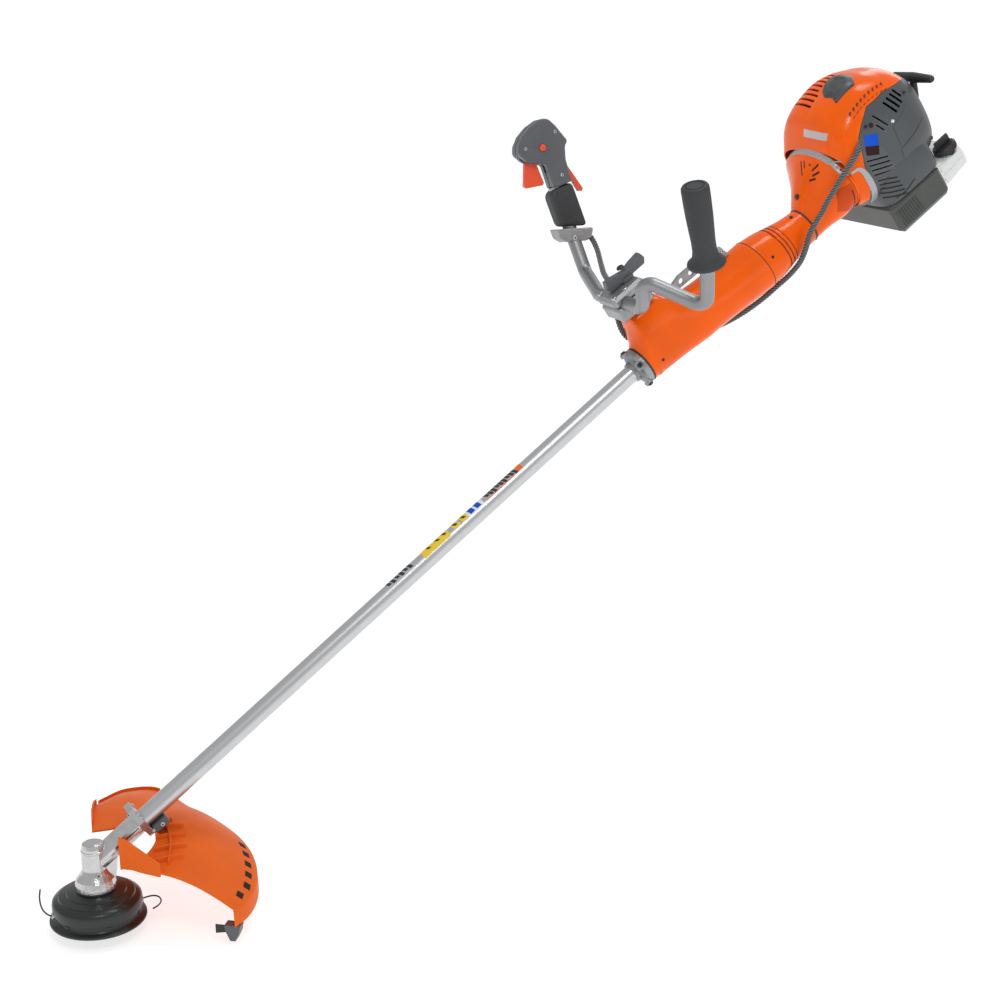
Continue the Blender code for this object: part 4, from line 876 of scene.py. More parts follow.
@dataclass
class Gearbox:
    """Fittings of the bevel gearbox and of the guard's bracket."""

    screw_radius: float = 0.0036
    cap_radius: float = 0.0180

    def build(self) -> None:
        """Builds the seams, screws and the clamp block."""
        housing = Skin.over(HEAD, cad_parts["gearbox_housing"])
        screws = Screws()
        dark, block, ring = (form_of() for _ in range(3))
        turned(ring, [(0.0170, 0.0195), (self.cap_radius, 0.0200), (self.cap_radius, 0.0228), (0.0170, 0.0234)],
               HEAD, ring=True)
        housing.ribbon(dark, [(0.030, -0.02, 0.0235, 0.0007), (0.050, -0.02, 0.0375, 0.0007),
                              (0.066, -0.02, 0.0487, 0.0007)], (0, 1, 0))
        for point in ((0.0, -0.0175, -0.012), (0.034, -0.017, 0.018)):
            screws.add(self.screw_radius, housing.seat(point, (0, 1, 0)))
            far = (point[0], -point[1], point[2])
            screws.add(self.screw_radius, housing.seat(far, (0, -1, 0)))
        for side in (-1, 1):
            for up in (0.0195, -0.0185):
                screws.add(0.0036, TUBE @ at(0.0948, side * 0.0155, up) @ ALONG)
        box_form(block, (0.026, 0.030, 0.013), TUBE @ at(0.1085, 0.0, -0.0205))
        for side in (-1, 1):
            screws.add(0.0034, TUBE @ at(0.110, side * 0.015, -0.0205) @
                         Matrix.Rotation(-side * math.pi / 2, 4, "X"))
        finish_forms(
            ("gearbox_cap_ring", ring, Look.GEARCASE, "cast_alloy", 0.0004),
            ("gearbox_seams", dark, Look.OPENING_SHADE_AND_JOINT, "black_plastic"))
        screws.finish("gearbox")
        finish_form("guard_clamp_block", block, "frame", Look.GREY, "dark_plastic", 0.002)


@dataclass
class CuttingHead:
    """Fittings of the line head: eyelets, release tabs and the knob's grip ribs."""

    exits: tuple[Point, Point] = ((-0.0625, 0.006, -0.0725), (0.0625, -0.004, -0.0725))
    knob_ribs: int = 18
    rim_notches: int = 6

    def build(self) -> None:
        """Builds the head's fittings."""
        eyelets, ribs, tabs, top, cover = (form_of() for _ in range(5))
        turned(top, [(0.0100, -0.0387), (0.0280, -0.0385), (0.0288, -0.0398), (0.0430, -0.0428), (0.0442, -0.0450),
                     (0.0552, -0.0474), (0.0564, -0.0498), (0.0628, -0.0524), (0.0652, -0.0552), (0.0660, -0.0600),
                     (0.0660, -0.0674), (0.0630, -0.0674), (0.0628, -0.0560), (0.0420, -0.0480),
                     (0.0100, -0.0410)], HEAD, steps=112, ring=True)
        turned(cover, [(0.0630, -0.0676), (0.0658, -0.0677), (0.0652, -0.0700), (0.0624, -0.0716),
                       (0.0619, -0.0760), (0.0622, -0.0806), (0.0640, -0.0826), (0.0696, -0.0836),
                       (0.0709, -0.0846), (0.0710, -0.0868), (0.0700, -0.0880), (0.0640, -0.0908),
                       (0.0530, -0.0936), (0.0385, -0.0945), (0.0372, -0.0938), (0.0374, -0.0915),
                       (0.0500, -0.0908), (0.0600, -0.0870), (0.0606, -0.0700)], HEAD, steps=112, ring=True)
        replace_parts(finish_form("head_top_shell", top, "cutting_head", Look.HEAD_BLACK, "black_plastic"),
                    "head_housing")
        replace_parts(finish_form("head_cover_shell", cover, "cutting_head", Look.HEAD_BLACK, "black_plastic"),
                    "head_cover")
        for place in self.exits:
            outward = math.copysign(1.0, place[0])
            seat = HEAD @ at(*place) @ Matrix.Rotation(outward * math.pi / 2, 4, "Y")
            turned(eyelets, [(0.0021, 0.0), (0.0052, 0.0), (0.0056, 0.0030), (0.0048, 0.0044), (0.0027, 0.0044),
                             (0.0021, 0.0030)], seat, steps=32, ring=True)
        for i in range(self.knob_ribs):
            turn = math.tau * i / self.knob_ribs
            box_form(ribs, (0.0016, 0.0030, 0.0080),
                     HEAD @ Matrix.Rotation(turn, 4, "Z") @ at(0.0338, 0.0, -0.0995))
        for i in range(self.rim_notches):
            turn = math.tau * (i + 0.5) / self.rim_notches
            box_form(tabs, (0.0016, 0.0090, 0.0050),
                     HEAD @ Matrix.Rotation(turn, 4, "Z") @ at(0.0622, 0.0, -0.0770))
        finish_form("line_eyelets", eyelets, "cutting_head", Look.TUBE, "steel")
        finish_form("knob_grip_ribs", ribs, "bump_knob_body", Look.HEAD_BLACK, "black_plastic", 0.0004)
        finish_form("head_cover_tabs", tabs, "cutting_head", Look.HEAD_BLACK, "black_plastic", 0.0006)


@dataclass
class DebrisGuard:
    """Fittings of the guard: its ribs, mount wall, dark sheets of painted shade in its slots, lip and cutter's screw.
    """

    stations: tuple[tuple[float, ...], ...] = (
        (-41.0, 0.050, -0.002, 0.216, -0.046, 0.030), (-33.0, 0.058, 0.002, 0.226, -0.045, 0.028),
        (-22.0, 0.078, 0.012, 0.232, -0.040, 0.026), (-8.0, 0.092, 0.024, 0.233, -0.031, 0.024),
        (6.0, 0.096, 0.029, 0.229, -0.021, 0.024), (20.0, 0.086, 0.031, 0.224, -0.012, 0.024),
        (34.0, 0.062, 0.032, 0.224, -0.006, 0.024), (46.0, 0.050, 0.032, 0.243, -0.003, 0.024),
        (54.0, 0.046, 0.032, 0.256, -0.001, 0.022), (63.0, 0.043, 0.032, 0.245, 0.0, 0.016),
        (70.0, 0.042, 0.032, 0.212, 0.001, 0.010), (77.0, 0.041, 0.032, 0.181, 0.002, 0.006))
    deck_steps: int = 18
    wall: float = 0.0028
    rib_half: float = 0.0011
    rib_height: float = 0.0060
    slot_count: int = 6

    def sheet(self) -> Piece:
        """The guard's deck and skirt as one smooth thin moulding."""
        outer = []
        for degrees, start, start_up, rim, rim_up, depth in smooth_rows(list(self.stations), 6):
            turn = math.radians(degrees)
            line = []
            for i in range(self.deck_steps + 1):
                share = i / self.deck_steps
                radius = start + (rim - start) * share
                up = start_up + (rim_up - start_up) * share ** 1.5 + 0.010 * math.sin(math.pi * share ** 1.2)
                line.append((radius, up))
            line += [(rim + 0.0022, rim_up - 0.0020), (rim + 0.0034, rim_up - 0.006), (rim + 0.004, rim_up - depth)]
            ring = [(r * math.cos(turn), r * math.sin(turn), z) for r, z in line]
            inside = [(r - (self.wall if i > self.deck_steps else 0.0008),
                       z - (self.wall if i <= self.deck_steps else 0.0))
                      for i, (r, z) in enumerate(line)]
            inside[-1] = (inside[-1][0], line[-1][1])
            ring += [(r * math.cos(turn), r * math.sin(turn), z) for r, z in reversed(inside)]
            outer.append(ring)
        form = form_of()
        skinned(form, outer, HEAD)
        return new_piece("guard_sheet", form)

    @staticmethod
    def polar(degrees: float, radius: float, up: float = 0.03) -> Point:
        """A place by its angle and distance from the head's axis."""
        turn = math.radians(degrees)
        return (radius * math.cos(turn), radius * math.sin(turn), up)

    def build(self) -> None:
        """Builds the guard's fittings."""
        sheet = self.sheet()
        rounded(sheet, 0.0007)
        mount(sheet, "frame", Look.GUARD)
        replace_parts(sheet, "guard")
        guard = Skin.over(HEAD, sheet)
        down = (0, 0, -1)
        screws = Screws()
        ribs, slots, wall = (form_of() for _ in range(3))
        for start, end in (((0.090, 0.034), (0.126, 0.020)), ((0.094, 0.008), (0.138, 0.002)),
                           ((0.090, -0.014), (0.134, -0.020)), ((0.082, -0.032), (0.130, -0.040)),
                           ((0.076, -0.048), (0.120, -0.056))):
            middle = ((start[0] + end[0]) / 2, (start[1] + end[1]) / 2)
            guard.ribbon(ribs, [(*start, 0.03, self.rib_half), (*middle, 0.03, self.rib_half),
                                (*end, 0.03, self.rib_half)], down, self.rib_height)
        guard.ribbon(ribs, [(*self.polar(a, 0.112), self.rib_half) for a in range(-32, 30, 8)], down,
                     self.rib_height + 0.001)
        guard.ribbon(ribs, [(*self.polar(a, r), 0.0012) for a, r in
                            ((75.5, 0.060), (75.5, 0.110), (75.0, 0.150), (74.5, 0.176))], down, 0.008)
        guard.ribbon(ribs, [(*self.polar(a, r), 0.0012) for a, r in
                            ((73.5, 0.184), (66.0, 0.218), (61.0, 0.239), (56.0, 0.247), (51.0, 0.244))],
                     down, 0.005)
        # dark sheets on the deck: painted shade standing in the slot openings
        for i in range(self.slot_count):
            degrees = -1.0 - 6.2 * i
            reach = 0.2275 if i < 5 else 0.2220
            corners = (self.polar(degrees, reach - 0.009), self.polar(degrees, reach),
                       self.polar(degrees - 2.9, reach), self.polar(degrees - 2.9, reach - 0.009))
            guard.patch(slots, corners, down)
        top = [(0.031, -0.033, 0.049), (0.040, -0.042, 0.046), (0.055, -0.057, 0.034), (0.077, -0.079, 0.016)]
        rings = []
        for x, y, z in top:
            base, _, _ = guard.touch((x, y, 0.03), down)
            low = (HEAD.inverted() @ base).z - 0.002
            rings.append([(x - 0.0011, y - 0.0011, low), (x + 0.0011, y + 0.0011, low),
                          (x + 0.0011, y + 0.0011, max(z, low + 0.003)), (x - 0.0011, y - 0.0011, max(z, low + 0.003))])
        skinned(wall, rings, HEAD)
        for degrees in (28.0, 40.0):
            screws.add(0.0040, guard.seat(self.polar(degrees, 0.092), down))
        finish_forms(
            ("guard_ribs", ribs, Look.GUARD, "guard_plastic", 0.0004),
            ("guard_slot_shade", slots, Look.OPENING_SHADE_AND_JOINT, "black_plastic"),
            ("guard_mount_wall", wall, Look.GUARD, "guard_plastic", 0.0005))
        screws.finish("guard")


@dataclass
class Handlebar:
    """The smooth bar and left grip, the clamp's screws, and the throttle handle's screws and ribs."""

    grip_ribs: int = 7
    bar_radius: float = 0.011
    bar_bend: float = 0.022
    bar_corners: tuple[Point, ...] = (
        (1.2505, -0.2308, 0.2593), (1.217, -0.211, 0.157), (1.200, -0.168, 0.086), (1.166, -0.090, 0.156),
        (1.148, -0.080, 0.110), (1.148, 0.060, 0.110), (1.186, 0.172, 0.103), (1.217, 0.211, 0.157),
        (1.2408, 0.2250, 0.2296))

    def bar_path(self) -> list[Vector]:
        """The bar's centre line, with its corners rounded by arcs."""
        corners = [Vector(p) for p in self.bar_corners]
        path = [corners[0]]
        for before, corner, after in zip(corners, corners[1:], corners[2:]):
            back, ahead = (before - corner), (after - corner)
            half = back.angle(ahead) / 2
            reach = min(self.bar_bend / math.tan(half), 0.49 * back.length, 0.49 * ahead.length)
            bend = reach * math.tan(half)
            middle = corner + (back.normalized() + ahead.normalized()).normalized() * bend / math.sin(half)
            first = corner + back.normalized() * reach - middle
            last = corner + ahead.normalized() * reach - middle
            path += [middle + first.slerp(last, i / 14) * bend for i in range(15)]
        return [*path, corners[-1]]

    def build(self) -> None:
        """Builds the smooth bar and its fittings."""
        bar = form_of()
        ThrottleCable().tube(bar, self.bar_path(), self.bar_radius, 0.0, 0.0, 40)
        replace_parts(finish_form("handlebar_tube", bar, "handlebar_body", Look.BAR, "aluminium"), "handlebar")
        screws, cap_screws = Screws(), Screws()
        sleeve, ribs, cap = (form_of() for _ in range(3))
        turned(sleeve, [(0.0, 0.1312), (0.0120, 0.1312), (0.0128, 0.1300), (0.0140, 0.1300), (0.0150, 0.1315),
                       (0.0185, 0.1310), (0.0203, 0.1285), (0.0207, 0.1240), (0.0205, 0.1050), (0.0200, 0.0850),
                       (0.0189, 0.0640), (0.0177, 0.0440), (0.0178, 0.0300), (0.0200, 0.0190), (0.0250, 0.0135),
                       (0.0281, 0.0110), (0.0287, 0.0085), (0.0280, 0.0060), (0.0230, 0.0052), (0.0, 0.0052)],
               LEFT_GRIP, steps=72)
        for along, side in ((1.137, -0.0215), (1.137, 0.0215), (1.160, -0.0215), (1.160, 0.0215)):
            cap_screws.add(0.0042, TUBE @ at(along, side, 0.1278))
        cap_screws.finish("clamp")
        face = Skin.over(HANDLE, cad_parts["throttle_handle_inner"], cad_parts["throttle_handle_outer"])
        for u, v in ((-0.031, 0.152), (0.026, 0.160), (0.012, 0.092)):
            for way in (-1, 1):
                screws.add(0.0027, face.seat((u, -way * 0.018, v), (0, way, 0)))
        grip = Skin.over(HANDLE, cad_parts["throttle_grip"])
        for i in range(self.grip_ribs):
            v = 0.010 + 0.0092 * i
            for way in (-1, 1):
                grip.ribbon(ribs, line_of((-0.012, -way * 0.017, v), (0.010, -way * 0.017, v + 0.002), 0.0018),
                            (0, way, 0), 0.0008)
        clamp = Skin.over(HANDLE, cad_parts["handle_clamp"])
        screws.add(0.0036, clamp.seat((-0.004, -0.017, -0.010), (0, 1, 0)))
        turned(cap, [(0.0, 0.0), (0.0062, 0.0), (0.0062, 0.0016), (0.0050, 0.0030), (0.0, 0.0034)],
               TUBE @ at(1.180, 0.0, 0.1488), steps=32)
        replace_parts(finish_form("left_grip_sleeve", sleeve, "handlebar_body", Look.RUBBER, "rubber"), "left_grip")
        screws.finish("handlebar", body="handlebar_body")
        finish_form("throttle_grip_ribs", ribs, "handlebar_body", Look.RUBBER, "rubber")
        finish_form("wing_knob_cap", cap, "wing_knob", Look.BLACK, "black_plastic")


@dataclass
class ThrottleCable:
    """The twisted sleeve of the throttle cable, in an upper run and a lower run."""

    core_radius: float = 0.0036
    strand_radius: float = 0.0015
    strand_offset: float = 0.0033
    twist_length: float = 0.026
    upper: list[Point] = field(default_factory=lambda: [
        (1.2330, 0.2035, 0.1400), (1.2360, 0.1990, 0.1290), (1.2270, 0.1800, 0.1160), (1.209, 0.150, 0.107),
        (1.193, 0.118, 0.106), (1.182, 0.088, 0.105), (1.172, 0.064, 0.098), (1.160, 0.051, 0.085),
        (1.148, 0.046, 0.068), (1.141, 0.043, 0.050), (1.140, 0.041, 0.034), (1.145, 0.042, 0.018)])
    lower: list[Point] = field(default_factory=lambda: [
        (1.145, 0.042, 0.018), (1.1495, 0.0425, 0.0095), (1.158, 0.045, 0.0), (1.180, 0.048, -0.016),
        (1.210, 0.046, -0.032), (1.245, 0.036, -0.048), (1.280, 0.022, -0.057), (1.315, 0.010, -0.0605),
        (1.350, 0.002, -0.061), (1.380, -0.006, -0.0575), (1.405, -0.018, -0.051), (1.425, -0.032, -0.039),
        (1.440, -0.042, -0.023), (1.455, -0.048, -0.006), (1.470, -0.053, 0.005), (1.486, -0.060, 0.015),
        (1.501, -0.067, 0.027), (1.516, -0.075, 0.038), (1.531, -0.083, 0.049), (1.548, -0.090, 0.059),
        (1.562, -0.0950, 0.0668), (1.574, -0.0968, 0.0728), (1.5835, -0.0935, 0.0778), (1.590, -0.086, 0.081)])

    def tube(self, form: Form, path: list[Vector], radius: float, offset: float, phase: float,
             sides: int) -> None:
        """Adds a tube along a path, or a strand wound round it.

        Args:
            form: the bmesh it is added to.
            path: the route's close points in the tube's frame.
            radius: the tube's radius.
            offset: how far it lies from the path.
            phase: its turn round the path at the start.
            sides: how many facets it has round it.
        """
        rings = []
        side = Vector((0.0, 1.0, 0.0))
        run = 0.0
        for i, point in enumerate(path):
            step = (path[min(i + 1, len(path) - 1)] - path[max(i - 1, 0)]).normalized()
            side = (side - step * side.dot(step)).normalized()
            up = step.cross(side)
            if i:
                run += (point - path[i - 1]).length
            turn = phase + math.tau * run / self.twist_length
            middle = point + (side * math.cos(turn) + up * math.sin(turn)) * offset
            rings.append([tuple(middle + (side * math.cos(a) + up * math.sin(a)) * radius)
                          for a in (math.tau * k / sides for k in range(sides))])
        skinned(form, rings, TUBE)

    def build(self) -> None:
        """Builds both runs in the place of their solids."""
        for name, points in (("upper", self.upper), ("lower", self.lower)):
            path = flow(points, 10)
            core, strands = form_of(), form_of()
            self.tube(core, path, self.core_radius, 0.0, 0.0, 16)
            for i in range(5):
                self.tube(strands, path, self.strand_radius, self.strand_offset, math.tau * i / 5, 7)
            for form, part, look in ((core, "core", Look.BLACK), (strands, "sleeve", Look.CABLE)):
                obj = new_piece(f"throttle_cable_{name}_{part}", form)
                look.value.dress(obj)
                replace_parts(obj, f"throttle_cable_{name}")
                if name == "upper":
                    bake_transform(obj)
                else:
                    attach(obj, "frame")
                LOG.info("%s built", obj.name)


@dataclass
class Shroud:
    """The neck mouldings in front of the engine, made smooth and close-grained, with their fittings."""

    front_rows: tuple[tuple[float, float, float, float], ...] = (
        (1.124, -0.031, 0.031, 0.031), (1.130, -0.0315, 0.040, 0.0312), (1.138, -0.032, 0.060, 0.0316),
        (1.143, -0.0325, 0.0838, 0.0318), (1.170, -0.0342, 0.0847, 0.0328), (1.196, -0.0362, 0.0825, 0.034),
        (1.218, -0.0382, 0.060, 0.0352), (1.242, -0.040, 0.047, 0.037), (1.290, -0.044, 0.042, 0.0405),
        (1.330, -0.0472, 0.0405, 0.043), (1.371, -0.0505, 0.0395, 0.045))
    wall: float = 0.0024
    rear_rows: tuple[tuple[float, float, float], ...] = (
        (1.3718, 0.0444, 0.0055), (1.3978, 0.0418, 0.0072), (1.4291, 0.0357, 0.0096), (1.4551, 0.0315, 0.0112),
        (1.4759, 0.0295, 0.0120))
    cover_rows: tuple[tuple[float, float, float, float], ...] = (
        (1.4785, -0.0415, 0.0175, 0.0295), (1.490, -0.0405, 0.032, 0.035), (1.509, -0.0385, 0.050, 0.050),
        (1.521, -0.0375, 0.062, 0.064), (1.532, -0.035, 0.073, 0.0765), (1.541, -0.030, 0.083, 0.085),
        (1.5447, -0.0302, 0.0832, 0.0851))
    groove_places: tuple[float, ...] = (1.4135, 1.4210, 1.4285)

    def moulding(self, name: str, node: str, rings: list[Ring]) -> None:
        """Adds one neck moulding as a smooth shell, in the place of its solid.

        Args:
            name: the piece's name.
            node: the solid it stands for.
            rings: its outer sections in order.
        """
        form = form_of()
        inner = []
        for ring in rings:
            middle = sum((Vector(p) for p in ring), Vector()) / len(ring)
            inner.append([tuple(Vector(p) + (middle - Vector(p)).normalized() * self.wall) for p in ring])
        skinned(form, [*rings, *reversed(inner), rings[0]], TUBE, caps=False)
        bmesh.ops.remove_doubles(form, verts=form.verts, dist=1e-6)
        piece = finish_form(name, form, "frame", Look.ORANGE, "orange_plastic", 0.0004)
        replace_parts(piece, node)

    def mouldings(self) -> None:
        """Builds the three neck mouldings."""
        self.moulding("front_shroud_shell", "front_shroud", [
            oval(*row, power=2.0 + 0.5 * min(1.0, max(0.0, (row[2] - 0.0425) / 0.006)), count=80)
            for row in smooth_rows(list(self.front_rows), 4)])
        rings = []
        for along, radius, drop in smooth_rows(list(self.rear_rows), 12):
            deep = max(0.0, *(1 - abs(along - place) / 0.0013 for place in self.groove_places))
            rings.append(oval(along, -drop - radius + 0.0014 * deep, -drop + radius - 0.0014 * deep,
                              radius - 0.0014 * deep, count=80))
        self.moulding("rear_shroud_shell", "rear_shroud", rings)
        self.moulding("clutch_cover_shell", "clutch_cover", [
            oval(*row, count=96) for row in smooth_rows(list(self.cover_rows), 5)])

    def build(self) -> None:
        """Builds the neck mouldings and their fittings."""
        self.mouldings()
        shell = Skin.over(TUBE, *(bpy.data.objects[f"{n}_shell"] for n in ("front_shroud", "rear_shroud",
                                                                          "clutch_cover")))
        screws = Screws()
        slots, plug, panel = (form_of() for _ in range(3))
        for point in ((1.146, -0.034, -0.004), (1.386, -0.044, 0.006)):
            for side in (-1, 1):
                seat = shell.seat((point[0], -side * point[1], point[2]), (0, -side, 0))
                screws.add(0.0024, seat)
        screws.add(0.0028, shell.seat((1.4621, -0.0079, 0.03), (0, 0, -1)))
        down = (0.0, 0.0, -1.0)
        # dark strips and a dark disc: painted shade standing in the cover's slots and hole
        for start, end in (((1.5325, 0.0070, 0.08), (1.5173, -0.0030, 0.08)),
                           ((1.5330, -0.0015, 0.08), (1.5255, -0.0060, 0.08)),
                           ((1.5255, -0.0240, 0.08), (1.5345, -0.0360, 0.08)),
                           ((1.5205, -0.0262, 0.08), (1.5280, -0.0390, 0.08)),
                           ((1.5145, -0.0215, 0.08), (1.5195, -0.0330, 0.08))):
            shell.ribbon(slots, line_of(start, end, 0.0009), down)
        disc(slots, 0.0017, shell.seat((1.5309, -0.0173, 0.08), down), 20)
        seat = shell.seat((1.4925, 0.0, 0.05), down) @ Matrix.Diagonal((1.25, 1.0, 1.0, 1.0))
        turned(plug, [(0.0, -0.001), (0.0047, -0.001), (0.0047, 0.0006), (0.0038, 0.0013), (0.0, 0.0015)], seat,
               steps=36)
        shell.patch(panel, ((1.514, -0.062, -0.006), (1.5425, -0.07, -0.024), (1.5425, -0.07, 0.034),
                            (1.524, -0.062, 0.030)), (0, 1, 0), 0.0007, steps=(8, 8))
        shell.ribbon(slots, line_of((1.5385, -0.08, -0.012), (1.5385, -0.08, 0.022), 0.0006), (0, 1, 0), 0.0009)
        screws.finish("shroud", Look.BLACK, "black_plastic")
        finish_forms(
            ("clutch_cover_slot_shade", slots, Look.OPENING_SHADE_AND_JOINT, "black_plastic"),
            ("clutch_cover_plug", plug, Look.BLACK, "black_plastic"),
            ("clutch_cover_panel", panel, Look.DEEP_ORANGE, "orange_plastic", 0.0004))
        self.neck_seams()
        self.rail_screws()

    def groove_section(self, along: float) -> tuple[float, float, float]:
        """Bottom, top and half width at the foot of a groove in the rear moulding."""
        fine = smooth_rows(list(self.rear_rows), 12)
        _, radius, drop = min(fine, key=lambda row: abs(row[0] - along))
        return (-drop - radius + 0.0004, -drop + radius - 0.0004, radius - 0.0004)

    def neck_seams(self) -> None:
        """The dark joint between the front and rear mouldings, painted shade at the foot of the rear moulding's
        grooves, and the rubber ring at the neck.
        """
        rings = form_of()
        grooves = [(along, *self.groove_section(along)) for along in self.groove_places]
        # the first ring is the dark joint; the rest are painted shade in the grooves
        for along, bottom, top, half in ((1.3714, -0.0503, 0.0393, 0.0447), *grooves):
            rows = [oval(along - 0.0006, bottom - 0.0004, top + 0.0004, half + 0.0004),
                    oval(along + 0.0006, bottom - 0.0004, top + 0.0004, half + 0.0004)]
            skinned(rings, rows, TUBE)
        neck = form_of()
        turned(neck, [(0.0262, -0.0014), (0.0300, -0.0014), (0.0306, 0.0), (0.0300, 0.0014), (0.0262, 0.0014)],
               TUBE @ at(1.4772, 0.0, -0.012) @ ALONG, steps=72, ring=True)
        finish_forms(
            ("shroud_groove_shade_and_joint", rings, Look.JOINT_AND_HOLLOW_SHADE, "black_plastic"),
            ("neck_ring", neck, Look.RUBBER, "rubber"))

    def rail_screws(self) -> None:
        """The two screws that hold the harness rail."""
        screws = Screws()
        for along in (1.2345, 1.3345):
            for side in (-1, 1):
                seat = TUBE @ at(along, side * 0.0025, 0.0535) @ Matrix.Rotation(-side * math.pi / 2, 4, "X")
                screws.add(0.0032, seat)
        screws.finish("rail")


@dataclass
class EngineShells:
    """The orange hood and the grey starter housing, as smooth thin shells with real slots."""

    rows: tuple[tuple[float, float, float, float], ...] = (
        (1.5488, -0.0318, 0.0848, 0.0867), (1.5530, -0.033, 0.0935, 0.088), (1.566, -0.040, 0.118, 0.0925),
        (1.580, -0.0425, 0.131, 0.0945), (1.605, -0.044, 0.141, 0.096), (1.640, -0.044, 0.146, 0.096),
        (1.670, -0.044, 0.140, 0.094), (1.690, -0.044, 0.131, 0.0885), (1.7125, -0.043, 0.119, 0.076),
        (1.729, -0.039, 0.100, 0.059), (1.738, -0.032, 0.086, 0.046))
    hood_line: tuple[Pair, ...] = ((1.545, -0.020), (1.562, -0.018), (1.573, 0.044), (1.588, 0.086),
                                   (1.605, 0.099), (1.630, 0.113), (1.670, 0.112), (1.713, 0.098),
                                   (1.750, 0.078))
    skirt_levels: tuple[tuple[float, float, float, float], ...] = (
        (0.014, 0.0605, 0.0905, 3.6), (0.006, 0.0618, 0.0930, 3.8), (-0.006, 0.0630, 0.0938, 4.2),
        (-0.024, 0.0628, 0.0922, 5.0), (-0.0455, 0.0612, 0.0893, 6.0), (-0.0478, 0.0606, 0.0886, 6.0))
    skirt_along: float = 1.6385
    skirt_wall: float = 0.0024
    wall: float = 0.0028
    power: float = 2.8
    waist: float = 0.045
    gap: float = 0.0004
    block_width: float = 0.4
    hood_slots: int = 8
    slot_half: float = 0.0021

    def shell(self, name: str) -> Piece:
        """The whole thin shell round the engine, open in front.

        Args:
            name: the object's name.

        Returns:
            The object.
        """
        fine = smooth_rows(list(self.rows), 5)
        outer, inner = [], []
        for along, bottom, top, half in fine:
            for rings, inset, place in ((outer, 0.0, along),
                                        (inner, self.wall, min(along, self.rows[-1][0] - self.wall))):
                rings.append(oval(place, bottom + inset, top - inset, half - inset, power=self.power,
                                  waist=self.waist, count=SHELL_FACETS))
        form = form_of()
        skinned(form, [*outer, *reversed(inner)], TUBE, caps=False)
        form.verts.ensure_lookup_table()
        count, last, middle = SHELL_FACETS, 2 * len(outer) - 1, len(outer) - 1
        rows = [form.verts[i * count:(i + 1) * count] for i in (0, last, middle, middle + 1)]
        front, front_inner, back, back_inner = rows
        for i in range(count):
            j = (i + 1) % count
            form.faces.new((front[i], front[j], front_inner[j], front_inner[i]))
        form.faces.new(back)
        form.faces.new(back_inner)
        for i in range(count):
            j = (i + 1) % count
            form.faces.remove(form.faces.get((back[i], back[j], back_inner[j], back_inner[i])))
        return new_piece(name, form)

    def side_block(self, above: bool) -> Piece:
        """A block on one side of the line between hood and housing, to cut the shell by.

        Args:
            above: the block above the line instead of below it.

        Returns:
            The block.
        """
        shift = self.gap if above else -self.gap
        line = [(x - shift * 0.7, z + shift) for x, z in self.hood_line]
        start, level = line[0][0], line[-1][1]
        if above:
            outline = [(1.40, -0.30), (start, -0.30), *line, (1.90, level), (1.90, 0.30), (1.40, 0.30)]
        else:
            outline = [(start, -0.30), *line, (1.90, level), (1.90, -0.30)]
        form = form_of()
        slab(form, outline, self.block_width, TUBE @ UPRIGHT)
        return new_piece("side_block", form)

    def slot_forms(self, whole: Piece) -> tuple[Piece, Piece]:
        """The cutters of the hood's and the housing's slots.

        Args:
            whole: the shell they follow.

        Returns:
            The hood's cutter and the housing's.
        """
        skin = Skin.over(TUBE, whole)
        hood, housing = form_of(), form_of()
        down, half = (0, 0, -1), self.slot_half
        for i in range(self.hood_slots):
            along = 1.5905 + 0.0098 * i
            near = 0.000 if along < 1.612 else 0.0085
            skin.patch(hood, ((along - half, near, 0.14), (along + 0.007 - half, 0.058, 0.13),
                              (along + 0.007 + half, 0.058, 0.13), (along + half, near, 0.14)), down, 0.004, 0.007)
        for start, end in (((1.6840, 0.1035), (1.6905, 0.0860)), ((1.6745, 0.1035), (1.6845, 0.0790)),
                           ((1.6650, 0.1030), (1.6755, 0.0775)), ((1.6555, 0.1020), (1.6665, 0.0750))):
            self.slot(skin, housing, start, end, half)
        for start, end in (((1.6275, 0.0985), (1.6405, 0.0700)), ((1.6240, 0.0835), (1.6310, 0.0680))):
            self.slot(skin, housing, start, end, 0.0013)
        for i in range(4):
            self.slot(skin, housing, (1.5795, 0.0470 - 0.0092 * i), (1.6150, 0.0300 - 0.0088 * i), 0.0011)
        return (new_piece("hood_cutter", hood),
                new_piece("housing_cutter", housing))

    @staticmethod
    def slot(skin: Skin, form: Form, start: Pair, end: Pair, half: float) -> None:
        """Adds the cutter of one slot in the near side.

        Args:
            skin: the shell's surface.
            form: the bmesh it is added to.
            start: its start, along the tube and up.
            end: its end.
            half: half its width.
        """
        a, b = Vector((start[0], 0.0, start[1])), Vector((end[0], 0.0, end[1]))
        side = (b - a).cross(Vector((0, 1, 0))).normalized() * half
        near = Vector((0, -0.094, 0))
        corners = tuple(tuple(p + near) for p in (a - side, b - side, b + side, a + side))
        skin.patch(form, corners, (0, 1, 0), 0.004, 0.007)

    def skirt(self) -> None:
        """The housing's straight lower wall, which runs down to the tank's guard."""
        form = form_of()
        outer, inner = [], []
        for rings, inset in ((outer, 0.0), (inner, self.skirt_wall)):
            for up, long, half, power in self.skirt_levels:
                turns = (math.tau * i / SHELL_FACETS for i in range(SHELL_FACETS))
                rings.append([(self.skirt_along + (long - inset) * bowed(math.cos(t), power),
                               (half - inset) * bowed(math.sin(t), power), up) for t in turns])
        skinned(form, [*outer, *reversed(inner), outer[0]], TUBE, caps=False)
        bmesh.ops.remove_doubles(form, verts=form.verts, dist=1e-6)
        finish_form("housing_skirt", form, "frame", Look.HOUSING, "dark_plastic", 0.0005)

